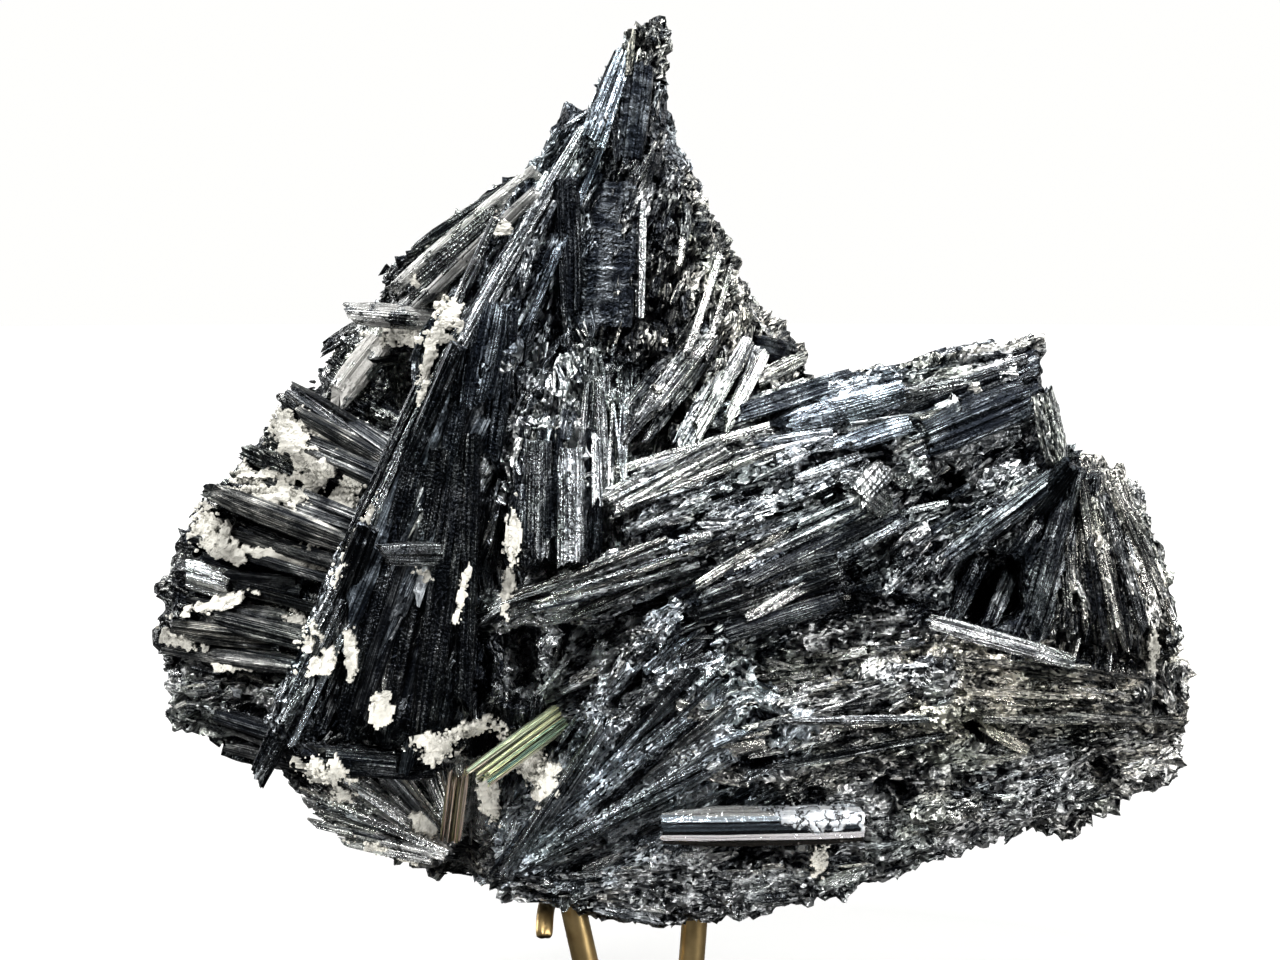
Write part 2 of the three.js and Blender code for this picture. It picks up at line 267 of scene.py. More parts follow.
WEST_SPRAYS = [
    Spray((-38, -9, 67), (-59.5, -6, 78), 9, 9, H.STUBBY, -0.3, shade=-0.05),
    Spray((-44, -10, 56), (-69.5, -6, 64), 11, 12, H.STUBBY, -0.3, shade=-0.05),
    Spray((-50, -11, 45), (-77, -6, 49), 14, 15, H.STUBBY, -0.3, shade=-0.05),
    Spray((-56, -11, 35), (-76.5, -6, 36), 12, 14, H.ROUGH, -0.1),
    Spray((-50, -10, 25), (-71, -5, 29.5), 6, 6, H.STUBBY, -0.1, shade=-0.05),
    Spray((-27, -18, 90), (-55.5, -20, 28), 10, 9, H.BLADED, 0.5, shade=-0.1),
    Spray((-24, -18, 88), (-50, -20, 34), 11, 12, H.FIBROUS, 0.3),
    Spray((-30, -18, 73), (-43, -21, 27), 9, 19, H.DARK, 0.2),
    Spray((-22, -15, 79), (-27, -17, 30), 9, 15, H.DARK, 0.1),
    Spray((-28, -10, 8), (-48, -9, 10), 4, 7, H.ROUGH, -0.1, 4, -0.08),
]
NEEDLE_SPRAYS = [
    Spray((-33.5, -10, 11), (-53, -12, 20), 2.5, 12, H.NEEDLE, -0.15, 6, 0.26),
    Spray((-33.5, -10, 11.5), (-46, -13, 24), 2.5, 9, H.NEEDLE, -0.1, 6, 0.2),
    Spray((-33, -10, 12), (-38, -13, 24), 2.5, 11, H.NEEDLE, -0.1, 6, 0.2),
    Spray((-35, -10, 10.5), (-55, -11, 14.5), 2, 7, H.NEEDLE, -0.15, 6, 0.26),
]
LOBE_SPRAYS = [
    Spray((54.5, -4, 84), (24, -11, 77.5), 7, 10, H.ROUGH, -0.4, shade=0.12),
    Spray((50, -8, 80), (20, -14, 74), 8, 10, H.FIBROUS, 0.1),
    Spray((34, -12, 80), (4, -18, 72.5), 10, 9, H.BLADED, 0.6),
    Spray((14, -18, 74), (-11, -22, 64.5), 6, 6, H.NEEDLE, 0.0),
    Spray((28, -18, 70), (-5, -24, 59), 13, 13, H.FIBROUS, 0.3),
    Spray((34, -18, 66), (8, -24, 54), 12, 12, H.BLADED, 0.2),
    Spray((7, -22, 59), (-26, -20, 47), 8, 3, H.NEEDLE, 0.1),
    Spray((24, -21, 55), (2.5, -26, 48), 10, 9, H.DARK, 0.0),
    Spray((12, -22, 52), (-12, -24, 42), 12, 12, H.ROUGH, 0.2),
    Spray((55, -6, 80), (32, -15, 70), 9, 10, H.DARK, 0.3),
    Spray((44, -12, 73), (28, -18, 62), 10, 10, H.ROUGH, 0.1),
    Spray((59, -8, 71), (34, -18, 55), 4, 14, H.FIBROUS, 0.2, shade=-0.14),
    Spray((60, -8, 70), (46, -15, 46), 4, 14, H.DARK, 0.2),
    Spray((62, -6, 67), (67, -12, 40), 9, 18, H.BLADED, -0.6, shade=-0.05),
    Spray((68, -6, 62), (73, -9, 34), 8, 10, H.ROUGH, -0.4, shade=-0.1, polish=0.22),
]
FOOT_SPRAYS = [
    Spray((77, -6, 34), (34, -20, 37), 9, 10, H.FIBROUS, -0.8, shade=0.06),
    Spray((76, -6, 25), (34, -18, 19), 9, 11, H.ROUGH, -0.3, shade=0.06),
    Spray((60, -12, 22), (30, -18, 14), 9, 10, H.ROUGH, 0.0, shade=0.1),
    Spray((34, -19, 35), (4, -25, 29), 10, 13, H.FIBROUS, -0.4, shade=0.06),
    Spray((38, -20, 42), (8, -25, 40), 9, 9, H.ROUGH, 0.0, shade=0.06),
    Spray((-27, -9, 6), (9, -26, 42), 3, 27, H.FIBROUS, 0.5, shade=0.14),
    Spray((-20, -13, 10), (12, -26, 34), 7, 22, H.BLADED, 0.5, shade=0.14),
    Spray((-24, -11, 7), (25, -15, 10), 5, 10, H.ROUGH, 0.1, shade=0.12),
    Spray((-20, -12, 4), (20, -13, 5), 5, 6, H.FIBROUS, 0.1),
    Spray((-24, -14, 34), (-8, -22, 46), 8, 12, H.ROUGH, 0.2, shade=0.1),
]
BACK_SPRAYS = [
    Spray((-8, 8, 120), (-38, 17, 62), 8, 26, H.BLADED, 0.2),
    Spray((-5, 11, 106), (4, 23, 38), 12, 36, H.FIBROUS, 0.1),
    Spray((53, 10, 82), (10, 20, 62), 10, 24, H.BLADED, 0.1),
    Spray((65, 12, 66), (58, 17, 22), 12, 28, H.FIBROUS, -0.2),
    Spray((-30, 18, 68), (-72, 10, 46), 18, 34, H.STUBBY, -0.1),
    Spray((-24, 18, 40), (-58, 12, 20), 12, 18, H.STUBBY, -0.1),
    Spray((-30, 15, 10), (54, 17, 20), 10, 20, H.ROUGH, -0.2),
    Spray((-10, 20, 44), (40, 21, 50), 16, 20, H.FIBROUS, 0.0),
]
FRONT_SPRAYS = PEAK_SPRAYS + WEST_SPRAYS + NEEDLE_SPRAYS + LOBE_SPRAYS + FOOT_SPRAYS
SPRAYS = FRONT_SPRAYS + BACK_SPRAYS


class GrainField:
    """The direction in which crystals grow at any place: that of the nearest spray."""

    def __init__(self, sprays: list[Spray]) -> None:
        """Lays out the sprays as arrays.

        Args:
            sprays: The fans that the specimen is made of.
        """
        self.root = np.array([s.root for s in sprays], float)
        self.run = np.array([s.tip for s in sprays], float) - self.root
        self.length = np.linalg.norm(self.run, axis=1)
        self.axis = self.run / self.length[:, None]
        self.across = unit(np.cross(self.axis, (0.0, -1.0, 0.0)))
        self.root_half = np.array([s.root_span for s in sprays]) / 2
        self.tip_half = np.array([s.tip_span for s in sprays]) / 2
        self.tint = np.array([s.tint for s in sprays])
        self.tone = np.array([HABITS[s.habit].tone + s.shade for s in sprays])
        self.gloss = np.array([HABITS[s.habit].gloss + s.polish for s in sprays])
        self.step = np.array([HABITS[s.habit].step for s in sprays])
        self.relief = np.array([HABITS[s.habit].relief for s in sprays])

    def nearest(self, points: Array) -> tuple[Array, Array]:
        """Finds the spray that each point belongs to, and its direction there.

        A point's distance from a spray is measured from the nearest place inside its fan. The
        direction is the fan's axis, leaning outwards in proportion to the offset across it.

        Args:
            points: Places, mm.

        Returns:
            The spray's number and the growth direction, for each point.
        """
        best = np.full(len(points), 1e9)
        index = np.zeros(len(points), int)
        lean = np.zeros(len(points))
        for i in range(len(self.root)):
            offset = points - self.root[i]
            t = np.clip(offset @ self.axis[i] / self.length[i], 0, 1)
            offset = offset - t[:, None] * self.run[i]
            side = offset @ self.across[i]
            half = self.root_half[i] + t * (self.tip_half[i] - self.root_half[i])
            beyond = np.maximum(np.abs(side) - half, 0)
            rest = offset - side[:, None] * self.across[i]
            distance = np.sqrt(beyond**2 + (rest**2).sum(1))
            closer = distance < best
            best[closer] = distance[closer]
            index[closer] = i
            lean[closer] = np.clip(side / half, -1, 1)[closer]
        fan = (self.tip_half - self.root_half)[index] * lean
        direction = self.run[index] + self.across[index] * fan[:, None]
        return index, unit(direction)

    def coordinates(self, points: Array, index: Array) -> Array:
        """Gives each point its place in its spray.

        The first number runs along the axis. The second runs across the fan, as a share of the
        fan's width there times its mean width, so that its lines fan out with the crystals. The
        third is the depth. Each spray starts far from the others.

        Args:
            points: Places, mm.
            index: The spray of each.

        Returns:
            Rows of three, mm.
        """
        offset = points - self.root[index]
        along = (offset * self.axis[index]).sum(1)
        mean = (self.root_half + self.tip_half)[index] / 2
        t = np.clip(along / self.length[index], 0, 1)
        half = self.root_half[index] + t * (self.tip_half - self.root_half)[index]
        half = np.maximum(half, 0.4 * mean)
        side = (offset * self.across[index]).sum(1) / half * mean
        outward = np.cross(self.across[index], self.axis[index])
        return np.stack([along + 90.0 * index, side, (offset * outward).sum(1)], 1)


# ---------------- meshes


def to_frame(points: Array) -> Array:
    """Takes millimetres from the specimen's datum to metres in the part's frame.

    Args:
        points: Places, one row of three each.

    Returns:
        The same places in the part's frame.
    """
    return (points + (0, 0, LIFT)) * MM


def read(items: bpy.types.bpy_prop_collection, key: str, width: int, kind: type) -> Array:
    """Reads one property of all of a mesh's items.

    Args:
        items: Its vertices, edges, corners or faces.
        key: The property.
        width: Numbers in the property.
        kind: Their type.

    Returns:
        One row per item, or one number where the width is 1.
    """
    values = np.empty(len(items) * width, kind)
    items.foreach_get(key, values)
    return values.reshape(-1, width) if width > 1 else values


def lay_look(mesh: bpy.types.Mesh, look: Array) -> None:
    """Stores the look of each vertex, which the finishes read.

    Args:
        mesh: The mesh.
        look: Tone, tint, gloss and film of each vertex, 0 to 1.
    """
    attribute = mesh.color_attributes.new("look", "FLOAT_COLOR", "POINT")
    attribute.data.foreach_set("color", look.astype(np.float32).ravel())


def add_object(name: str, mesh: bpy.types.Mesh) -> Piece:
    """Links a mesh to the scene as an object at the origin.

    Args:
        name: The piece's name.
        mesh: Its mesh, in the part's frame.

    Returns:
        The new object.
    """
    made = bpy.data.objects.new(name, mesh)
    bpy.context.scene.collection.objects.link(made)
    return made


def mesh_object(
    name: str,
    points: Array,
    faces: list[Array],
    uv: list[Array] | None = None,
    look: Array | None = None,
) -> Piece:
    """Makes an object from whole arrays.

    Args:
        name: The piece's name.
        points: Vertices, mm from the datum.
        faces: Arrays of vertex numbers, one array for each number of corners.
        uv: Texture places for each array of faces, with one more axis of two.
        look: Tone, tint, gloss and film of each vertex, 0 to 1.

    Returns:
        The new object.
    """
    mesh = bpy.data.meshes.new(name)
    mesh.vertices.add(len(points))
    mesh.vertices.foreach_set("co", to_frame(points).astype(np.float32).ravel())
    corners = np.concatenate([f.ravel() for f in faces]).astype(np.int32)
    totals = np.concatenate([np.full(len(f), f.shape[1]) for f in faces])
    starts = np.concatenate([[0], np.cumsum(totals)[:-1]])
    mesh.loops.add(len(corners))
    mesh.loops.foreach_set("vertex_index", corners)
    mesh.polygons.add(len(totals))
    mesh.polygons.foreach_set("loop_start", starts.astype(np.int32))
    if uv is not None:
        layer = mesh.uv_layers.new(name="grain")
        layer.data.foreach_set("uv", np.concatenate([u.ravel() for u in uv]).astype(np.float32))
    if look is not None:
        lay_look(mesh, look)
    mesh.update(calc_edges=True)
    mesh.validate()
    mesh.shade_flat()
    return add_object(name, mesh)


@dataclass(frozen=True)
class Section:
    """How finely a lath is divided.

    Attributes:
        sides: Corners of its cross-section.
        rings: Cross-sections from root to tip.
        groove: Depth of the grooves along it, as a share of its thickness.
    """

    sides: int
    rings: int
    groove: float


FINE = Section(4, 2, 0.0)
MEDIUM = Section(8, 3, 0.35)
STRIATED = Section(22, 6, 0.4)
HERO = Section(40, 14, 0.3)


@dataclass
class Laths:
    """Many lath-shaped crystals, as arrays with one row each.

    Attributes:
        root: Middle of each root, mm.
        axis: Unit direction of growth.
        across: Unit direction of the width, square to the axis.
        length: Length, mm.
        width: Width, mm.
        thickness: Thickness, mm.
        taper: Width at the tip as a share of the width.
        bend: How far the middle bows outwards, mm.
        ragged: Depth of the splinters at the tip, mm.
        look: Tone, tint, gloss and film, 0 to 1.
    """

    root: Array
    axis: Array
    across: Array
    length: Array
    width: Array
    thickness: Array
    taper: Array
    bend: Array
    ragged: Array
    look: Array

    def chosen(self, mask: Array) -> "Laths":
        """Keeps some of the laths.

        Args:
            mask: True for each lath to keep.

        Returns:
            The laths kept.
        """
        return Laths(*(getattr(self, name)[mask] for name in self.__dataclass_fields__))

    @staticmethod
    def joined(batches: list["Laths"]) -> "Laths":
        """Puts several batches in one.

        Args:
            batches: The batches.

        Returns:
            One batch with the laths of all.
        """
        names = Laths.__dataclass_fields__
        return Laths(*(np.concatenate([getattr(b, n) for b in batches]) for n in names))

    def build(self, name: str, section: Section, rng: Rng) -> Piece:
        """Makes one mesh of all the laths.

        A vertex is the root, plus the axis times its distance along, plus the width direction
        times the half width and the cosine of its place round the section, plus the thickness
        direction times the half thickness, the sine and one minus the groove's depth there. The
        tip's vertices are pulled back at random, which splinters it.

        Args:
            name: The piece's name.
            section: How finely each is divided.
            rng: The source of chance.

        Returns:
            The new object.
        """
        n, k, r = len(self.length), section.sides, section.rings
        angle = (np.arange(k) + 0.5) * 2 * np.pi / k
        a = np.sign(np.cos(angle)) * np.abs(np.cos(angle)) ** 0.75
        b = np.sign(np.sin(angle)) * np.abs(np.sin(angle)) ** 0.6
        ridge = 1 - section.groove * rng.random((n, 1, k)) * np.abs(b)
        ridge = ridge * (1 - 0.06 * rng.random((n, r, k)))
        t = np.linspace(0, 1, r)
        end = np.clip((t - 0.75) / 0.25, 0, 1)
        share = 1 - (1 - self.taper[:, None]) * end
        share *= 0.85 + 0.15 * np.clip(t / 0.2, 0, 1)
        along = np.broadcast_to(t, (n, r))[:, :, None] * np.ones(k)
        along = along * self.length[:, None, None]
        slant = rng.normal(0, 0.5, (n, 1)) * a * self.width[:, None]
        slant += rng.normal(0, 0.4, (n, 1)) * b * self.thickness[:, None]
        along[:, -1] -= self.ragged[:, None] * rng.random((n, k)) - np.clip(slant, -3, 1)
        along[:, 0] += 0.5 * self.ragged[:, None] * rng.random((n, k))
        outward = np.cross(self.across, self.axis)
        wide = a * (self.width / 2)[:, None, None] * share[:, :, None] * np.sqrt(ridge)
        thick = b * (self.thickness / 2)[:, None, None] * share[:, :, None] * ridge
        thick = thick + (self.bend[:, None] * 4 * t * (1 - t))[:, :, None]
        rings = (
            self.root[:, None, None]
            + self.axis[:, None, None] * along[..., None]
            + self.across[:, None, None] * wide[..., None]
            + outward[:, None, None] * thick[..., None]
        )
        caps = np.stack([rings[:, 0].mean(1), rings[:, -1].mean(1)], axis=1)
        caps[:, 1] -= self.axis * (0.3 * self.ragged)[:, None]
        points = np.concatenate([rings.reshape(n, r * k, 3), caps], axis=1)
        per = r * k + 2

        j, i = np.meshgrid(np.arange(r - 1), np.arange(k), indexing="ij")
        i2 = (i + 1) % k
        sides = np.stack([j * k + i, (j + 1) * k + i, (j + 1) * k + i2, j * k + i2], -1)
        ring = np.arange(k)
        foot = np.stack([np.full(k, r * k), ring, (ring + 1) % k], -1)
        last = (r - 1) * k
        head = np.stack([np.full(k, r * k + 1), last + (ring + 1) % k, last + ring], -1)
        start = (np.arange(n) * per)[:, None, None]
        quads = (sides.reshape(1, -1, 4) + start).reshape(-1, 4)
        tris = (np.concatenate([foot, head])[None] + start).reshape(-1, 3)

        # u runs along the lath and v round it, both in mm, shifted at random for each lath
        pitch = (2 * (self.width + self.thickness) / k)[:, None]
        shift = rng.random((n, 2)) * 500
        v0 = pitch * i.ravel() + shift[:, 1:]
        u0 = self.length[:, None] * t[j.ravel()] + shift[:, :1]
        u1 = self.length[:, None] * t[j.ravel() + 1] + shift[:, :1]
        uv_quads = np.stack(
            [np.stack(c, -1) for c in ((u0, v0), (u1, v0), (u1, v0 + pitch), (u0, v0 + pitch))], 2
        )
        v = pitch * ring + shift[:, 1:]
        edge = np.broadcast_to(shift[:, :1], v.shape)
        foot_uv = np.stack([np.stack([edge, v], -1)] * 3, 2)
        uv_tris = np.concatenate([foot_uv, foot_uv + 50], 1)
        look = np.repeat(self.look, per, axis=0)
        return mesh_object(name, points.reshape(-1, 3), [quads, tris], [uv_quads, uv_tris], look)


def blade_frame(axis: Array, facing: Array, roll: Array) -> Array:
    """Finds the width direction of each lath, so that its broad face looks the way it should.

    Args:
        axis: Unit directions of growth.
        facing: The way that each broad face should look.
        roll: Turn of each lath about its axis, radians.

    Returns:
        Unit width directions.
    """
    across = unit(np.cross(axis, facing))
    outward = np.cross(across, axis)
    return across * np.cos(roll)[:, None] + outward * np.sin(roll)[:, None]


# ---------------- body


def node_samples(node: str, steps: int = 24) -> Array:
    """Spreads places over a node: mixes of each triangle's corners, in even steps.

    Args:
        node: The frame's node.
        steps: Places along each side of a triangle.

    Returns:
        The places, mm.
    """
    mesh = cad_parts[node].data
    mesh.calc_loop_triangles()
    numbers = read(mesh.loop_triangles, "vertices", 3, np.int32)
    corners = (read(mesh.vertices, "co", 3, float) / MM - (0, 0, LIFT))[numbers]
    a, b = np.meshgrid(*[np.linspace(0, 1, steps)] * 2)
    a, b = a[a + b <= 1], b[a + b <= 1]
    shares = np.stack([1 - a - b, a, b], 1)
    return np.einsum("sk,tkd->tsd", shares, corners).reshape(-1, 3)


class Skin:
    """The surface of the crystal mass before it is grained, to grow laths on."""

    SMOOTHING = 12

    def __init__(self, mesh: bpy.types.Mesh) -> None:
        """Reads the surface and works out its broad normals.

        Args:
            mesh: The remeshed crystal mass, in metres in the part's frame.
        """
        self.points = read(mesh.vertices, "co", 3, float) / MM - (0, 0, LIFT)
        self.sharp = read(mesh.vertex_normals, "vector", 3, float)
        self.normals = self.eased(self.sharp.copy(), read(mesh.edges, "vertices", 2, np.int32))

    def eased(self, values: Array, edges: Array) -> Array:
        """Averages each vertex's value with its neighbours', several times over.

        Args:
            values: One row per vertex.
            edges: Pairs of vertex numbers.

        Returns:
            The averaged unit vectors.
        """
        for _ in range(self.SMOOTHING):
            total = values.copy()
            np.add.at(total, edges[:, 0], values[edges[:, 1]])
            np.add.at(total, edges[:, 1], values[edges[:, 0]])
            values = unit(total)
        return values

    def depth_map(self, sign: float, nodes: tuple[str, ...] = ()) -> "DepthMap":
        """Makes the map of how far the surface stands out to one side.

        Args:
            sign: -1 for the front, 1 for the back.
            nodes: Free crystals to count as part of the surface.

        Returns:
            The map.
        """
        return DepthMap(np.concatenate([self.points, *(node_samples(n) for n in nodes)]), sign)


class DepthMap:
    """How far the surface stands out towards the front or the back, over a grid in X and Z."""

    CELL = 1.25  # side of a cell, mm
    CELLS = 144  # along each side of the grid
    CORNER = (-90.0, -20.0)  # X and Z at which the grid begins, mm
    EMPTY = -1e3  # stands in a cell where the surface has nothing

    def __init__(self, points: Array, sign: float) -> None:
        """Keeps the outermost depth in each cell.

        Args:
            points: The surface's vertices, mm.
            sign: -1 for the front, 1 for the back.
        """
        self.sign = sign
        self.grid = np.full((self.CELLS, self.CELLS), self.EMPTY)
        i, j = self.cells(points)
        np.maximum.at(self.grid, (i, j), sign * points[:, 1])

    def cells(self, points: Array) -> tuple[Array, Array]:
        """Finds the grid cell of each point.

        Args:
            points: Places, mm.

        Returns:
            Row and column numbers.
        """
        i = ((points[:, 0] - self.CORNER[0]) / self.CELL).astype(int)
        j = ((points[:, 2] - self.CORNER[1]) / self.CELL).astype(int)
        return np.clip(i, 0, self.CELLS - 1), np.clip(j, 0, self.CELLS - 1)

    def covers(self, points: Array, margin: float = 0.0) -> Array:
        """Tells which places lie within the outline as seen from this side.

        Args:
            points: Places, mm.
            margin: How far inside the outline they must lie, mm.

        Returns:
            True for each such place.
        """
        steps = [(0, 0)] if margin == 0 else [(1, 0), (-1, 0), (0, 1), (0, -1)]
        found = [self.depth(points + (margin * a, 0, margin * b), np.nan) for a, b in steps]
        return ~np.isnan(found).any(0)

    def depth(self, points: Array, fallback: Array | float) -> Array:
        """Gives the surface's Y at each point's X and Z.

        Args:
            points: Places, mm.
            fallback: Y to use where the surface has nothing.

        Returns:
            One Y per point.
        """
        found = self.grid[self.cells(points)]
        return np.where(found > self.EMPTY / 2, self.sign * found, fallback)


@dataclass
class CrystalBody:
    """The intergrown mass: the modelled solid, remeshed and grained along its crystals."""

    name: str = "crystal_body"
    voxel: float = 0.85
    chunk: float = 2.4
    sink: float = 0.4
    pit: float = 2.0
    skin: Skin | None = None

    def build(self, grain: GrainField) -> Piece:
        """Makes the body, and the skin that laths grow on.

        A vertex moves along its normal by the relief of two sizes of lath, broad and narrow,
        plus large round chunks, and lumps and grit where the crystals are rough, less a little
        so that the laths grown on it stand proud. In the pits it sinks further, and its tone is
        lowered there too, which is painted shade.

        Args:
            grain: The growth directions.

        Returns:
            The new object.
        """
        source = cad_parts["crystal_mass"]
        mesh = source.data.copy()
        shape = bmesh.new()
        shape.from_mesh(mesh)
        bmesh.ops.remove_doubles(shape, verts=shape.verts, dist=1e-6)
        shape.to_mesh(mesh)
        shape.free()
        body = add_object(self.name, mesh)
        remesh = body.modifiers.new("remesh", "REMESH")
        remesh.mode = "VOXEL"
        remesh.voxel_size = self.voxel * MM
        evaluated = body.evaluated_get(bpy.context.evaluated_depsgraph_get())
        fine = bpy.data.meshes.new_from_object(evaluated)
        body.modifiers.clear()
        body.data = fine
        fine.name = self.name
        self.skin = Skin(fine)

        points = self.skin.points
        index, _ = grain.nearest(points)
        places = grain.coordinates(points, index)
        rough = 1.0 - grain.gloss[index]
        width, length = grain.step[index].T
        broad = lath_steps(places, width, length, 1) - 0.5
        narrow = lath_steps(places, width / 2.2, length / 2.2, 7) - 0.5
        chunks = value_noise(points / 8, 3) - 0.5
        lumps = value_noise(points / 3.2, 9) - 0.5
        grit = value_noise(points / 1.3, 4) - 0.5
        move = grain.relief[index] * (broad + 0.6 * (0.3 + rough) * narrow)
        move += self.chunk * chunks + (1.4 * lumps + 0.7 * grit) * rough - self.sink
        pits = pit_share(points)
        move -= self.pit * pits
        moved = points + self.skin.sharp * move[:, None]
        fine.vertices.foreach_set("co", to_frame(moved).astype(np.float32).ravel())
        patch = value_noise(points / 5, 12) - 0.5
        # The pit share darkens the tone: painted shade in the pockets.
        shade = grain.tone[index] + 0.3 * broad + 0.25 * narrow + 0.45 * patch - 0.4 * pits
        gloss = grain.gloss[index] - 0.7 * (value_noise(points / 4, 13) - 0.5)
        tint = 0.5 + 0.5 * grain.tint[index]
        look = np.stack([shade, tint, gloss, np.zeros(len(points))], 1)
        lay_look(fine, np.clip(look, 0, 1))
        self.lay_grain(fine, grain, points)
        fine.update()
        return body

    def lay_grain(self, mesh: bpy.types.Mesh, grain: GrainField, points: Array) -> None:
        """Writes grain coordinates on each face's corners, all of a face from one spray.

        Args:
            mesh: The body's mesh.
            grain: The growth directions.
            points: Its vertices before they were moved, mm.
        """
        corners = read(mesh.loops, "vertex_index", 1, np.int32)
        totals = read(mesh.polygons, "loop_total", 1, np.int32)
        starts = np.concatenate([[0], np.cumsum(totals)[:-1]])
        centres = np.add.reduceat(points[corners], starts) / totals[:, None]
        index, _ = grain.nearest(centres)
        places = grain.coordinates(points[corners], np.repeat(index, totals))
        attribute = mesh.attributes.new("grain", "FLOAT_VECTOR", "CORNER")
        attribute.data.foreach_set("vector", places.astype(np.float32).ravel())

    def dress(self, body: Piece, finish: "StibniteFinish") -> None:
        """Gives the body its finish and puts it on the frame.

        Args:
            body: The body.
            finish: Its finish.
        """
        body.data.materials.clear()
        body.data.materials.append(finish.material())
        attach(body, "root")
        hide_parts("crystal_mass")


# ---------------- laths


FRONT_Y = -4  # what lies before this counts as the front, mm
BARE_LOSS = 0.8  # share of the small laths that a bare place goes without
PIT_CLEAR = 0.4  # small laths grow where the pit share is less than this

# Boxes on the front, each as the X and Z of its lower and upper corner, mm. No lath of a fan
# crosses a hollow, few small laths grow in a bare place, and the body sinks in the pits and is
# painted darker there, as painted shade.
HOLLOWS = [
    ((-46, 75), (-36, 88)),
    ((-32, 29), (-15.5, 49)),
    ((39.5, 44), (54, 57)),
    ((-3, 11), (27, 20.5)),
    ((40.5, 27), (49.5, 33.5)),
    ((60.5, 20), (68, 26)),
]
BARE = [((-58, 9), (-34, 25))]
PITS = [
    ((-4.5, 89), (1.2, 98)),
    ((-5, 73.5), (5, 80)),
    ((34.5, 63.5), (44.5, 68)),
    ((44, 58), (50, 62)),
    ((8, 27), (20, 29)),
    ((22, 30.5), (33, 33)),
    ((9, 33), (18, 35)),
    ((7, 26), (11, 31)),
    ((10, 30), (14.5, 35.5)),
    ((5, 9.4), (21.5, 13.4)),
    ((28, 20), (37, 23)),
    ((-6, 58), (2, 60)),
    ((-30, 32), (-26, 50)),
]


def pit_share(points: Array) -> Array:
    """Tells how deep inside a pocket each place is.

    With r the distance from a pocket's centre in half widths, made uneven by noise, the share
    is 1.5 - 1.3 r^2 between 0 and 1. The largest share of all pockets counts.

    Args:
        points: Places, mm.

    Returns:
        One share from 0 to 1 per point.
    """
    box = np.array(PITS)
    centre, half = box.mean(1), np.ptp(box, axis=1) / 2
    uneven = points[:, [0, 2]] + 2.2 * (value_noise(points / 2.4, 41) - 0.5)[:, None]
    r = (((uneven[:, None] - centre) / half) ** 2).sum(2)
    share = np.clip(1.5 - 1.3 * r, 0, 1).max(1)
    return np.where(points[:, 1] < FRONT_Y, share, 0.0)


def in_boxes(points: Array, boxes: list[tuple]) -> Array:
    """Tells which places on the front lie in one of some boxes.

    Args:
        points: Places, mm.
        boxes: Lower and upper corner of each box, as X and Z, mm.

    Returns:
        True for each such place.
    """
    inside = np.zeros(len(points), bool)
    for (x0, z0), (x1, z1) in boxes:
        x, z = points[:, 0], points[:, 2]
        inside |= (x > x0) & (x < x1) & (z > z0) & (z < z1)
    return inside & (points[:, 1] < FRONT_Y)


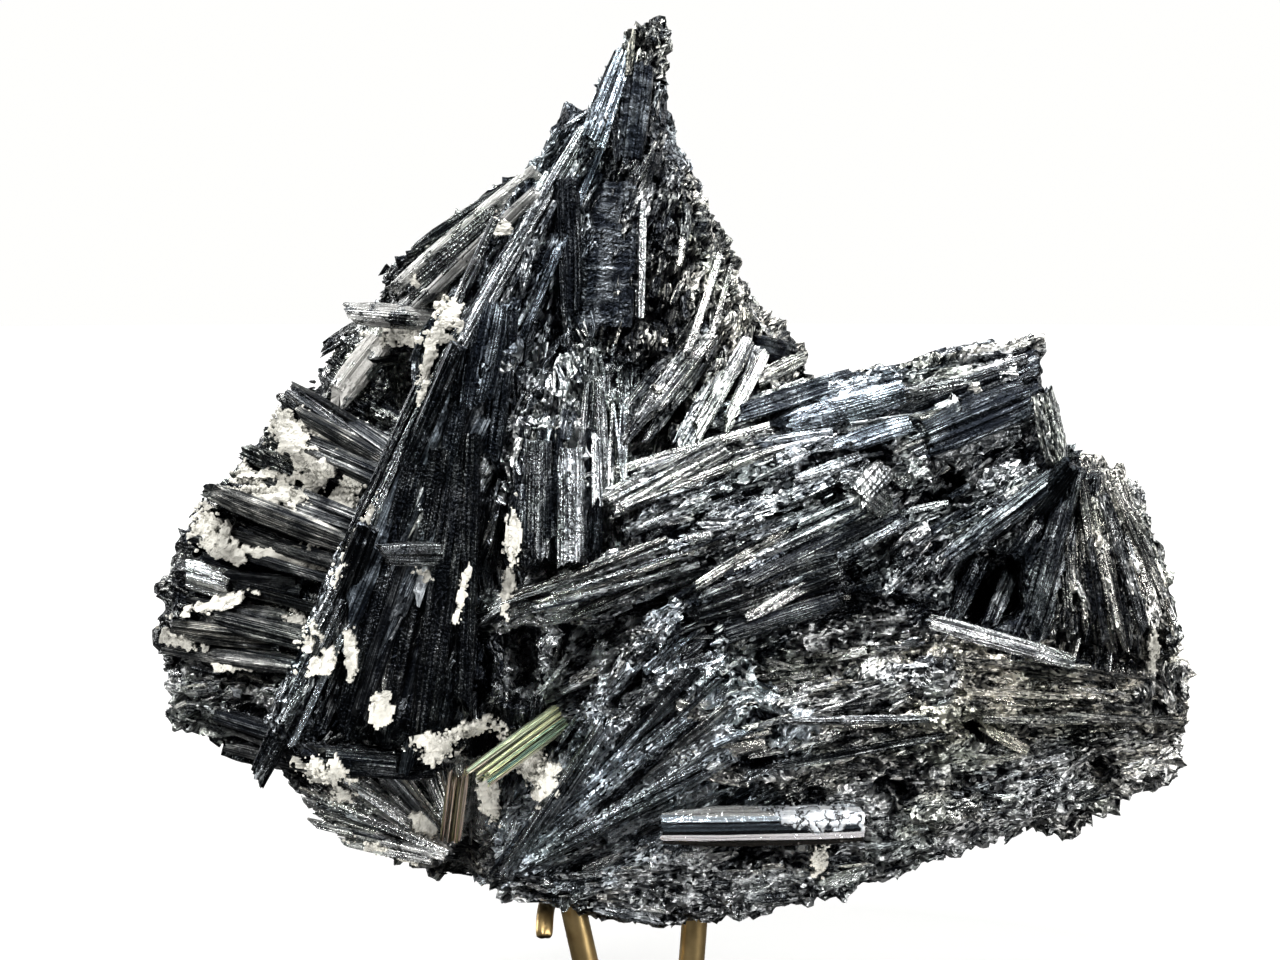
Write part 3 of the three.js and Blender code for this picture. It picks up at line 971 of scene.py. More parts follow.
@dataclass
class Fans:
    """The larger crystals of a group of sprays, in two sizes."""

    name: str
    sprays: list[Spray]
    back: bool = False
    slack: float = 5.0  # how far an end may move from its spray's line to the surface, mm
    margin: float = 0.9  # how far inside the outline a lath stays, mm

    def laths(self, spray: Spray, skin: Skin, rng: Rng) -> Laths:
        """Lays the laths of one spray over the surface.

        Each starts at a place in the fan, points along it, and is as long as its habit says. Both
        of its ends are then brought to the surface as seen from its own side.

        Args:
            spray: The fan.
            skin: The surface.
            rng: The source of chance.

        Returns:
            The laths.
        """
        size = HABITS[spray.habit]
        root, tip = np.array(spray.root, float), np.array(spray.tip, float)
        length = np.linalg.norm(tip - root)
        axis = (tip - root) / length
        view = np.array([0.0, 1.0 if self.back else -1.0, 0.0])
        across = unit(np.cross(axis, view)[None])[0]
        mean_width = sum(size.width) / 2
        mean_reach = sum(size.reach) / 2
        area = length * (spray.root_span + spray.tip_span) / 2
        n = int(size.cover * area / (mean_width * mean_reach * length)) + 2
        s = rng.uniform(-0.5, 0.5, n)
        reach = rng.uniform(*size.reach, n)
        start = rng.random(n) * (1 - reach)

        def place(t: Array) -> Array:
            """Finds each lath's place in the fan.

            Args:
                t: Share of the way from the fan's root to its tips.

            Returns:
                One place per lath, mm.
            """
            span = spray.root_span + t * (spray.tip_span - spray.root_span)
            return root + (tip - root) * t[:, None] + across * (s * span)[:, None]

        low, high = place(start), place(start + reach)
        ease = skin.depth_map(view[1])
        rise = size.lift * rng.random(n)
        for ends in (low, high):
            nominal = ends[:, 1] + view[1] * spray.thickness / 2
            found = ease.depth(ends, nominal)
            level = np.clip(found, nominal - self.slack, nominal + self.slack)
            ends[:, 1] = level + view[1] * (rise - 0.35 * mean_width * size.flat)
        high[:, 1] += view[1] * rng.random(n) * size.lift * 0.6
        run = high - low
        stray = rng.normal(0, math.radians(size.stray) * 0.6, (n, 3))
        run += np.linalg.norm(run, axis=1)[:, None] * stray
        lengths = np.linalg.norm(run, axis=1)
        axes = unit(run)
        width = size.width[0] + (size.width[1] - size.width[0]) * rng.random(n) ** 1.6
        facing = np.broadcast_to(view, (n, 3))
        spread = 0.05 + 0.4 * size.tone
        tone = np.clip(size.tone + spray.shade + rng.normal(0, spread, n), 0.02, 1)
        tint = np.clip(0.5 + 0.5 * spray.tint + rng.normal(0, 0.12, n), 0, 1)
        gloss = np.clip(size.gloss + spray.polish + rng.normal(0, 0.15, n), 0, 1)
        return Laths(
            root=low,
            axis=axes,
            across=blade_frame(axes, facing, rng.normal(0, 0.45, n)),
            length=lengths,
            width=width,
            thickness=width * size.flat * rng.uniform(0.7, 1.3, n),
            taper=rng.uniform(0.55, 0.95, n),
            bend=rng.normal(0, 0.015, n) * lengths,
            ragged=size.ragged * rng.uniform(0.3, 1.3, n),
            look=np.stack([tone, tint, gloss, np.zeros(n)], 1),
        )

    def build(self, skin: Skin, rng: Rng) -> list[Piece]:
        """Makes the fans, with the widest laths divided more finely.

        Args:
            skin: The surface.
            rng: The source of chance.

        Returns:
            The new objects.
        """
        laths = Laths.joined([self.laths(s, skin, rng) for s in self.sprays])
        run = laths.axis * laths.length[:, None]
        crossing = [
            in_boxes(laths.root + run * t, HOLLOWS) for t in (0.05, 0.25, 0.5, 0.75, 0.95)
        ]
        outline = skin.depth_map(1.0 if self.back else -1.0)
        within = [outline.covers(laths.root + run * t, self.margin) for t in (0, 0.5, 0.93)]
        laths = laths.chosen(~np.any(crossing, axis=0) & np.all(within, axis=0))
        wide = laths.width > np.quantile(laths.width, 0.8)
        log.info("%s: %d laths, %d of them wide", self.name, len(wide), wide.sum())
        return [
            laths.chosen(wide).build(self.name + "_blades", STRIATED, rng),
            laths.chosen(~wide).build(self.name + "_laths", MEDIUM, rng),
        ]


@dataclass
class Thatch:
    """The small crystals that cover the whole surface, lying along the grain."""

    name: str
    count: int
    width: Pair
    length: Pair
    section: Section
    lift: float
    ragged: float
    margin: float = 1.0  # how far inside the outline its laths stay, mm

    def build(self, skin: Skin, grain: GrainField, rng: Rng) -> Piece:
        """Grows laths from places spread evenly over the surface.

        A lath's direction is the grain's, with the part along the surface normal taken away,
        turned by slow noise so that neighbours form bundles, and tipped outwards a little.

        Args:
            skin: The surface.
            grain: The growth directions.
            rng: The source of chance.

        Returns:
            The new object.
        """
        n = self.count
        pick = rng.integers(0, len(skin.points), n)
        points, normals = skin.points[pick], skin.normals[pick]
        index, direction = grain.nearest(points)
        flat = direction - normals * (direction * normals).sum(1, keepdims=True)
        weak = np.linalg.norm(flat, axis=1) < 0.35
        side = np.cross(normals, grain.across[index])
        flat[weak] = side[weak]
        flat = unit(flat)
        turn = math.radians(55) * (value_noise(points / 7, 5) - 0.5) + rng.normal(0, 0.12, n)
        flat = flat * np.cos(turn)[:, None] + np.cross(normals, flat) * np.sin(turn)[:, None]
        tip_up = np.radians(rng.uniform(-6, 9, n))
        axis = unit(flat * np.cos(tip_up)[:, None] + normals * np.sin(tip_up)[:, None])
        length = self.length[0] + (self.length[1] - self.length[0]) * rng.random(n) ** 1.5
        width = self.width[0] + (self.width[1] - self.width[0]) * rng.random(n) ** 1.8
        bundle = value_noise(points / 3.5, 6) - 0.5
        rise = self.lift * (rng.random(n) - 0.4) + 0.9 * bundle
        root = points - axis * (0.5 * length)[:, None] + normals * rise[:, None]
        tone = np.clip(grain.tone[index] + rng.normal(0, 0.2, n) + 0.5 * bundle, 0.02, 1)
        tint = np.clip(0.5 + 0.5 * grain.tint[index] + rng.normal(0, 0.12, n), 0, 1)
        gloss = np.clip(grain.gloss[index] + rng.normal(0, 0.2, n), 0, 1)
        laths = Laths(
            root=root,
            axis=axis,
            across=blade_frame(axis, normals, rng.normal(0, 0.6, n)),
            length=length,
            width=width,
            thickness=width * rng.uniform(0.45, 0.95, n),
            taper=rng.uniform(0.45, 0.95, n),
            bend=rng.normal(0, 0.02, n) * length,
            ragged=self.ragged * rng.uniform(0.2, 1.2, n),
            look=np.stack([tone, tint, gloss, np.zeros(n)], 1),
        )
        clear = pit_share(points) < PIT_CLEAR
        clear &= ~(in_boxes(points, BARE) & (rng.random(n) < BARE_LOSS))
        outline = skin.depth_map(-1.0)
        for ends in (root, root + axis * length[:, None]):
            clear &= outline.covers(ends, self.margin)
        return laths.chosen(clear).build(self.name, self.section, rng)


@dataclass(frozen=True)
class Feature:
    """One crystal that the eye picks out of the mass.

    Attributes:
        root: X and Z of the middle of its root, mm.
        tip: X and Z of the middle of its tip, mm.
        width: Width, mm.
        thickness: Thickness, mm.
        tone: Brightness, 0 to 1.
        tint: From -1 for brown-grey to 1 for blue.
        gloss: Smoothness, 0 to 1.
        film: Cover of pale crust, 0 to 1.
        roll: Turn about its axis, degrees.
        taper: Width at the tip as a share of the width.
    """

    root: Pair
    tip: Pair
    width: float
    thickness: float
    tone: float = 0.3
    tint: float = 0.0
    gloss: float = 0.8
    film: float = 0.0
    roll: float = 0.0
    taper: float = 0.85


FEATURES = [
    Feature((-12.6, 117), (-7.6, 130), 3.2, 3, 0.32, 0.9, 0.6, roll=-25),
    Feature((-11, 116), (-7.5, 127), 1.4, 2, 0.55, 0.9, 0.8, roll=-20),
    Feature((-4.7, 108.5), (-5.0, 91.5), 1.0, 2.4, 0.85, 0.1, 0.9, roll=30),
    Feature((6.8, 100.6), (1.8, 86), 1.2, 2, 0.75, -0.2, 0.9, roll=25),
    Feature((8.6, 99.0), (4.6, 85), 1.0, 2, 0.6, -0.3, 0.8, roll=15),
    Feature((1.4, 103), (0.6, 98.5), 1.2, 1.6, 0.6, -0.4, 0.8, roll=20),
    Feature((19.5, 85), (11.5, 81.5), 2.4, 2.5, 0.5, -0.4, 0.4, roll=20),
    Feature((-16, 112), (-15.5, 92), 4.5, 4, 0.1, 0.3, 0.8, roll=15),
    Feature((-26, 94), (-29, 79), 5.5, 4, 0.2, 0.8, 0.9),
    Feature((-36, 76), (-55, 37), 2.6, 2.5, 0.3, 0.6, 0.8),
    Feature((-31, 88), (-57.5, 27), 3.2, 3, 0.14, 0.5, 0.8),
    Feature((-44, 62), (-58.5, 26), 4.0, 3, 0.1, 0.3, 0.85),
    Feature((-19.5, 74), (-20, 57), 4.2, 4, 0.35, 0.2, 0.75, roll=20, taper=1.0),
    Feature((-15, 73), (-15, 56), 4.0, 4, 0.6, 0.3, 0.85, roll=-10, taper=1.0),
    Feature((-11, 83), (-10, 63), 1.8, 1.5, 0.6, 0.2, 0.9, roll=30),
    Feature((11, 88), (3, 74.5), 2.4, 2.4, 0.5, -0.2, 0.7, roll=20),
    Feature((6, 89), (-3.5, 77), 2.2, 2, 0.45, -0.3, 0.7, roll=-20),
    Feature((13.5, 86), (7.5, 76), 2.0, 2, 0.6, -0.2, 0.8, roll=25),
    Feature((22.8, 55.5), (11, 48.6), 2.2, 2.0, 0.85, -0.1, 0.85, roll=25),
    Feature((24, 56), (3, 49.5), 5.0, 3, 0.14, -0.2, 0.85, roll=10),
    Feature((34, 80.5), (17, 76), 4.4, 3, 0.5, 0.9, 0.7, roll=30),
    Feature((27.5, 66.5), (31, 63.5), 4.5, 3, 0.75, -0.1, 0.7, roll=30),
    Feature((53, 79.5), (36, 73), 6.5, 4, 0.08, 0.5, 0.85, roll=-10),
    Feature((59, 70), (47, 52), 4.0, 3, 0.13, 0.5, 0.8, roll=20),
    Feature((60, 69), (53.5, 47), 3.5, 3, 0.12, 0.2, 0.8, roll=-20),
    Feature((57, 68), (40, 56), 3.5, 3, 0.18, 0.4, 0.8, roll=15),
    Feature((-24, 10), (2, 34), 3.6, 3, 0.55, 0.8, 0.6, roll=20),
    Feature((-24, 9), (9, 29), 3.4, 3, 0.5, 0.6, 0.6, roll=25),
    Feature((-25, 8), (-10, 32), 3.0, 3, 0.6, 0.5, 0.6, roll=-15),
    Feature((-44, 71), (-57.5, 80), 3.2, 4, 0.12, -0.3, 0.5, roll=10, taper=1.0),
    Feature((-51, 58.5), (-66, 65.5), 3.4, 4, 0.1, -0.3, 0.5, roll=10, taper=1.0),
    Feature((-53, 66), (-64, 70.5), 3.0, 4, 0.12, -0.4, 0.5, roll=-5, taper=1.0),
    Feature((-20, 113), (-42, 95), 2.6, 2.4, 0.5, -0.2, 0.5, film=0.5, roll=30),
    Feature((-20, 110), (-38, 93), 2.0, 2, 0.35, -0.2, 0.6, film=0.4, roll=20),
    Feature((-66, 51), (-73, 53), 5.0, 4, 0.7, 0.2, 0.9, roll=40),
    Feature((-26, 106), (-46.5, 62), 1.4, 2, 0.4, 0.1, 0.9, roll=20),
    Feature((-28, 100), (-48, 58), 1.2, 2, 0.25, 0.1, 0.9, roll=-20),
    Feature((-30, 93), (-52, 47), 1.6, 2, 0.5, 0.3, 0.9, roll=15),
    Feature((-41, 66), (-57, 32), 1.8, 2, 0.4, 0.4, 0.9, roll=20),
    Feature((-48.5, 45), (-55.8, 29.6), 1.1, 1.6, 0.9, 0.6, 0.95, roll=28),
    Feature((-31, 72), (-37, 30), 4.6, 3, 0.06, -0.1, 1.0, roll=10),
    Feature((-34, 73), (-43, 31), 4.4, 3, 0.08, 0.0, 1.0, roll=-12),
    Feature((-37.5, 71), (-48.5, 31), 4.0, 3, 0.07, 0.2, 1.0, roll=8),
    Feature((-33.5, 63), (-36, 36), 1.6, 2, 0.35, -0.3, 0.9, roll=25),
    Feature((-38.5, 60), (-42.5, 38), 1.0, 1.5, 0.55, -0.2, 0.9, roll=25),
    Feature((-29.5, 75), (-31, 34), 3.4, 3, 0.04, 0.0, 1.0, roll=-8),
    Feature((-24, 93), (-27, 70), 3.6, 3, 0.12, 0.7, 0.9, roll=5),
    Feature((-29, 91), (-33, 70), 3.2, 3, 0.1, 0.6, 0.9, roll=-8),
    Feature((-1, 60), (-24, 50.5), 1.3, 1.5, 0.55, -0.3, 0.9, roll=30),
    Feature((3, 58), (-20, 50), 1.0, 1.5, 0.7, -0.3, 0.9, roll=20),
    Feature((1, 56), (-15, 48), 1.5, 1.5, 0.3, -0.3, 0.9, roll=30),
    Feature((14, 76), (-9, 69), 1.4, 1.5, 0.75, -0.2, 0.9, roll=25),
    Feature((16, 73), (-8, 64), 1.2, 1.5, 0.6, -0.2, 0.9, roll=25),
    Feature((17, 61), (3, 53), 1.6, 1.5, 0.5, -0.4, 0.9, roll=25),
    Feature((19, 60), (8, 55), 1.2, 1.5, 0.7, -0.4, 0.9, roll=25),
    Feature((30, 62), (9, 53), 2.6, 2, 0.12, -0.2, 0.95, roll=10),
    Feature((46, 82), (26, 79.5), 1.6, 2, 0.45, 0.0, 0.5, roll=25),
    Feature((53, 85), (37, 80), 1.8, 2, 0.42, 0.0, 0.5, roll=25),
    Feature((41, 33), (15, 33.5), 1.1, 1.6, 0.4, 0.0, 0.7, roll=25),
    Feature((40, 30), (14, 26.5), 1.2, 1.6, 0.3, 0.0, 0.7, roll=25),
    Feature((75, 31), (46, 32.5), 1.3, 1.6, 0.4, -0.5, 0.6, roll=25),
    Feature((61, 67), (65, 42), 2.2, 2, 0.42, -0.5, 0.7, roll=25),
    Feature((64, 65), (70, 45), 2.0, 2, 0.25, -0.1, 0.6, roll=15),
    Feature((66, 66), (73, 50), 1.8, 2, 0.48, -0.5, 0.7, roll=25),
    Feature((57.2, 69.5), (54.9, 80.5), 3.6, 6, 0.3, -0.3, 0.2, roll=20),
]
SMOOTH_FACES = [
    Feature((-9.0, 111.8), (-10.2, 88.2), 8.4, 1.7, 0.1, 0.3, 1.0, roll=-4, taper=1.0),
    Feature((-6.6, 114.4), (-4.8, 129.5), 4.6, 3, 0.08, 0.4, 1.0, roll=6),
    Feature((18.2, 85.4), (11.4, 87.2), 3.6, 2.4, 0.08, 0.3, 1.0, taper=0.7),
    Feature((51.5, 74.2), (38.5, 71.6), 3.4, 2.4, 0.42, 0.0, 1.0, roll=10),
    Feature((31.2, 69.6), (26.3, 65.4), 4.0, 2.0, 0.52, -0.1, 1.0, roll=-10),
    Feature((28.8, 63.2), (25.4, 62.2), 1.8, 2.0, 0.95, 0.0, 1.0, roll=-5),
    Feature((37.4, 61.0), (34.3, 59.0), 1.8, 2.0, 0.8, 0.1, 1.0, roll=10),
    Feature((20.5, 78.5), (14.5, 75.5), 2.6, 2.4, 0.16, 0.7, 1.0, roll=10),
]
PROUD_BLADES = [
    Feature((-40.2, 70.5), (-43.8, 58.0), 1.9, 1.5, 1.0, 0.3, 0.95, roll=12),
    Feature((7.5, 73.2), (-10.2, 64.0), 4.4, 3, 0.6, -0.05, 0.95, roll=14, taper=0.95),
    Feature((3.5, 70.5), (-8, 64.2), 1.2, 1.2, 0.8, -0.1, 0.9, roll=20),
    Feature((-33.5, 11.6), (-55.5, 20.2), 1.3, 1.2, 0.85, -0.05, 0.9, roll=20),
    Feature((-34, 11), (-54.5, 15.2), 1.5, 1.3, 0.7, -0.1, 0.9, film=0.2, roll=25),
    Feature((-33.5, 12.5), (-49.5, 22.6), 1.3, 1.2, 0.8, 0.0, 0.9, roll=15),
    Feature((-33.3, 12.6), (-45.5, 24.4), 1.1, 1.1, 0.6, 0.0, 0.9, roll=-15),
    Feature((-33, 13), (-41, 23), 1.2, 1.2, 0.85, 0.1, 0.9, roll=-20),
    Feature((-33, 13), (-37, 22.6), 1.4, 1.2, 0.75, 0.0, 0.9, film=0.2, roll=-20),
    Feature((-33.6, 11.9), (-52, 17.6), 0.9, 1.0, 0.5, -0.2, 0.9, roll=30),
    Feature((-36, 10.2), (-50, 12.0), 1.4, 1.3, 0.55, -0.1, 0.8, film=0.3, roll=20),
]


@dataclass
class FeatureBlades:
    """Crystals that the eye picks out, finely striated and laid on the surface."""

    name: str
    features: list[Feature]
    rise: float = 0.3  # how far they stand off the surface, mm
    beyond: float = -6.0  # Y taken where there is no surface, mm

    def draped(self, skin: Skin) -> tuple[Array, Array]:
        """Lays each crystal on the surface like a ruler.

        Its two ends start on the surface. The line between them then moves towards the viewer
        until the surface stands no more than a little in front of it anywhere.

        Args:
            skin: The surface.

        Returns:
            The roots and the tips, mm.
        """
        ends = np.array([(f.root, f.tip) for f in self.features], float)
        along = np.linspace(0, 1, 9)
        flat = ends[:, :1] + (ends[:, 1:] - ends[:, :1]) * along[None, :, None]
        places = np.stack([flat[..., 0], flat[..., 0] * 0, flat[..., 1]], 2).reshape(-1, 3)
        found = skin.depth_map(-1.0).depth(places, self.beyond)
        found = found.reshape(len(ends), -1)
        line = found[:, :1] + (found[:, -1:] - found[:, :1]) * along
        hidden = np.clip((line - found).max(1) - 0.6, 0, 4)
        y = line[:, [0, -1]] - hidden[:, None] - self.rise
        lines = np.stack([ends[..., 0], y, ends[..., 1]], 2)
        return lines[:, 0], lines[:, 1]

    def build(self, skin: Skin, rng: Rng) -> Piece:
        """Makes the crystals as one mesh.

        Args:
            skin: The surface.
            rng: The source of chance.

        Returns:
            The new object.
        """
        n = len(self.features)

        def column(get: Callable[[Feature], object]) -> Array:
            """Lists one measure of every crystal.

            Args:
                get: Reads it from a crystal.

            Returns:
                One row per crystal.
            """
            return np.array([get(f) for f in self.features], float)

        root, tip = self.draped(skin)
        run = tip - root
        length = np.linalg.norm(run, axis=1)
        axis = unit(run)
        view = np.broadcast_to((0.0, -1.0, 0.0), (n, 3))
        width = column(lambda f: f.width)
        laths = Laths(
            root=root,
            axis=axis,
            across=blade_frame(axis, view, np.radians(column(lambda f: f.roll))),
            length=length,
            width=width,
            thickness=column(lambda f: f.thickness),
            taper=column(lambda f: f.taper),
            bend=rng.normal(0, 0.006, n) * length,
            ragged=0.35 * width,
            look=column(lambda f: (f.tone, 0.5 + 0.5 * f.tint, f.gloss, f.film)),
        )
        return laths.build(self.name, HERO, rng)


@dataclass
class FreeCrystal:
    """A crystal that stands free: a node of the frame, redrawn finely where it is.

    Attributes:
        node: The frame's node.
        slot: Its material slot in the record; not used.
        look: Tone, tint, gloss and film, 0 to 1.
        parts: Laths side by side that it is made of.
    """

    node: str
    slot: str
    look: tuple[float, float, float, float]
    parts: int = 1

    def build(self, rng: Rng) -> Piece:
        """Measures the node and draws a striated crystal in its place.

        The axis is the direction in which the node's corners spread most, and the width the
        direction in which they spread next. The tip is the end with the smaller section.

        Args:
            rng: The source of chance.

        Returns:
            The new object.
        """
        points = read(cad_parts[self.node].data.vertices, "co", 3, float)
        points = np.unique(points.round(7), axis=0) / MM - (0, 0, LIFT)
        centre = points.mean(0)
        spread = np.linalg.svd(points - centre, full_matrices=False)[2]
        local = (points - centre) @ spread.T
        low, high = local.min(0), local.max(0)
        middle = (low[0] + high[0]) / 2
        axis, across = spread[0], spread[1]
        near, far = local[:, 0] < low[0] + 0.5, local[:, 0] > high[0] - 0.5
        girth = [np.abs(local[side, 1:]).max() for side in (near, far)]
        ends = [low[0], high[0]]
        if girth[0] < girth[1]:
            axis, ends = -axis, [-high[0], -low[0]]
        offset = spread[1] * (low[1] + high[1]) / 2 + spread[2] * (low[2] + high[2]) / 2
        n, width = self.parts, high[1] - low[1]
        one, loose = np.ones(n), float(self.parts > 1)
        place = ((np.arange(n) + 0.5) / n - 0.5) * width
        turn = loose * rng.normal(0, 0.3, (n, 1))
        outward = np.cross(across, axis)
        lath = Laths(
            root=centre + offset + axis * ends[0] + place[:, None] * across,
            axis=np.tile(axis, (n, 1)),
            across=across * np.cos(turn) + outward * np.sin(turn),
            length=(ends[1] - ends[0]) * (1 - 0.14 * loose * rng.random(n)),
            width=width / n * one,
            thickness=(high[2] - low[2]) * (1 - 0.3 * loose * rng.random(n)),
            taper=0.8 * one,
            bend=0 * one,
            ragged=0.8 * one,
            look=np.tile(self.look, (n, 1)),
        )
        return lath.build(self.node + "_grown", HERO, rng)

    def dress(self, piece: Piece, finish: object) -> None:
        """Gives the crystal its finish and puts it on the frame.

        Args:
            piece: The crystal.
            finish: Its finish.
        """
        piece.data.materials.append(finish.material())
        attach(piece, "root")
        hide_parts(self.node)


FREE_CRYSTALS = [
    FreeCrystal("shelf_crystal", "coated_crystal", (0.3, 0.4, 0.6, 0.45)),
    FreeCrystal("coated_blade", "coated_crystal", (0.5, 0.4, 0.3, 1.0)),
    FreeCrystal("rod_crystal", "dark_crystal", (0.1, 0.4, 0.7, 0.1)),
    FreeCrystal("edge_blade", "dark_crystal", (0.15, 0.6, 0.6, 0.0)),
    FreeCrystal("ledge_crystal", "stibnite", (0.32, 0.6, 0.8, 0.05)),
    FreeCrystal("step_crystal", "stibnite", (0.15, 0.5, 0.7, 0.0)),
    FreeCrystal("crossing_blade", "stibnite", (0.6, 0.5, 0.85, 0.0), parts=2),
    FreeCrystal("fan_blade_1", "dark_crystal", (0.12, 0.7, 0.8, 0.0)),
    FreeCrystal("fan_blade_2", "dark_crystal", (0.16, 0.6, 0.8, 0.0)),
    FreeCrystal("fan_blade_3", "stibnite", (0.2, 0.5, 0.8, 0.0)),
]
POCKET_PRISM = FreeCrystal("pocket_prism", "stibnite", (0.75, 0.55, 0.9, 0.0))


@dataclass(frozen=True)
class Patch:
    """A patch of pale druse on the front of the specimen.

    Attributes:
        centre: Its X and Z, mm.
        half: Half its length and half its height, mm.
        angle: Rise of its length, degrees.
        count: Grains in it.
        nodes: Free crystals that it covers too.
        lift: How much further out it lies than the rest, mm.
    """

    centre: Pair
    half: Pair
    angle: float = 0.0
    count: int = 120
    nodes: tuple[str, ...] = ()
    lift: float = 0.0

    def placed(self, along: Array, up: Array) -> tuple[Array, Array]:
        """Finds the X and Z of places in the patch.

        Args:
            along: Their places along its length, from its centre, mm.
            up: Their places across it, mm.

        Returns:
            Their X and Z, mm.
        """
        turn = math.radians(self.angle)
        x = self.centre[0] + along * math.cos(turn) - up * math.sin(turn)
        z = self.centre[1] + along * math.sin(turn) + up * math.cos(turn)
        return x, z


PATCHES = [
    Patch((-32, 30.5), (4.5, 1.0), 10, 200),
    Patch((-34.5, 28.5), (2.0, 1.6), 0, 120),
    Patch((-51.9, 24.2), (2.9, 2.6), 0, 260, ("step_crystal",)),
    Patch((-42.5, 10.2), (4.2, 1.3), -6, 160),
    Patch((-19.5, 24), (2.4, 2.6), 40, 120),
    Patch((-35.2, 54.2), (2.6, 0.8), -10, 90),
    Patch((-47, 42.7), (0.7, 2.6), 0, 70, lift=1.5),
    Patch((-42.5, 35), (1.0, 2.0), -10, 70),
    Patch((-23.6, 59), (0.8, 3.8), -4, 130),
    Patch((-24.2, 52), (0.7, 3.2), -4, 90),
    Patch((-39.5, 88.6), (5.5, 1.2), 5, 200),
    Patch((-36.3, 83), (0.8, 3.2), -10, 120),
    Patch((-34.5, 94), (3.6, 1.5), -50, 200),
    Patch((-56, 74), (6.0, 2.3), -28, 260, lift=1.5),
    Patch((-53.4, 69.5), (2.0, 1.2), -20, 80, lift=1.5),
    Patch((-51.8, 68.6), (3.8, 1.2), 50, 130, lift=1.5),
    Patch((-61.2, 65.6), (5.6, 1.9), -12, 240, lift=1.5),
    Patch((-55.2, 63.9), (2.2, 1.5), -20, 90, lift=1.5),
    Patch((-48.7, 63.6), (5.8, 1.7), 60, 220, lift=1.5),
    Patch((-46, 60), (4.4, 0.7), 62, 90, lift=1.5),
    Patch((-70, 60), (2.2, 2.8), 30, 160, lift=1.5),
    Patch((-67.8, 57.0), (3.6, 1.2), -20, 120, lift=1.5),
    Patch((-56, 55.8), (5.4, 0.9), -10, 150, lift=1.5),
    Patch((-68.5, 48.5), (4.0, 0.7), 15, 80, lift=1.5),
    Patch((-55.2, 45.7), (2.6, 1.6), 10, 110, lift=1.5),
    Patch((-50.8, 41.8), (2.2, 1.0), 40, 80, lift=1.5),
    Patch((-30.6, 52.5), (0.5, 4.6), -12, 90),
    Patch((-62, 40), (5.0, 0.8), 5, 90, lift=1.5),
    Patch((-73.5, 43), (2.6, 0.9), -10, 60, lift=1.5),
    Patch((-23.2, 26.5), (2.4, 2.8), 30, 240),
    Patch((-27.5, 18.5), (1.2, 3.0), 10, 130),
    Patch((-45, 11.5), (3.8, 0.9), -12, 140),
    Patch((-37, 15.5), (1.4, 2.2), 10, 90),
    Patch((21.6, 11.4), (1.1, 2.0), 0, 90),
    Patch((71.6, 41), (0.6, 2.6), 0, 60),
    Patch((-27, 106), (3.0, 1.0), -40, 90),
    Patch((-50, 20), (2.0, 0.8), 0, 60),
    Patch((-57.6, 75.0), (3.6, 1.9), -28, 120, lift=2.4),
    Patch((-62.0, 66.2), (4.4, 1.4), -14, 120, lift=2.4),
    Patch((-52.4, 68.2), (2.8, 1.2), 45, 80, lift=2.4),
    Patch((-69.5, 58.6), (3.0, 1.6), -10, 90, lift=2.0),
]


class PaleCover:
    """What the sheets and the grains of pale druse share."""

    def dress(self, piece: Piece) -> None:
        """Gives the cover its finish and puts it on the frame.

        Args:
            piece: The cover.
        """
        piece.data.materials.append(DruseFinish().material())
        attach(piece, "root")


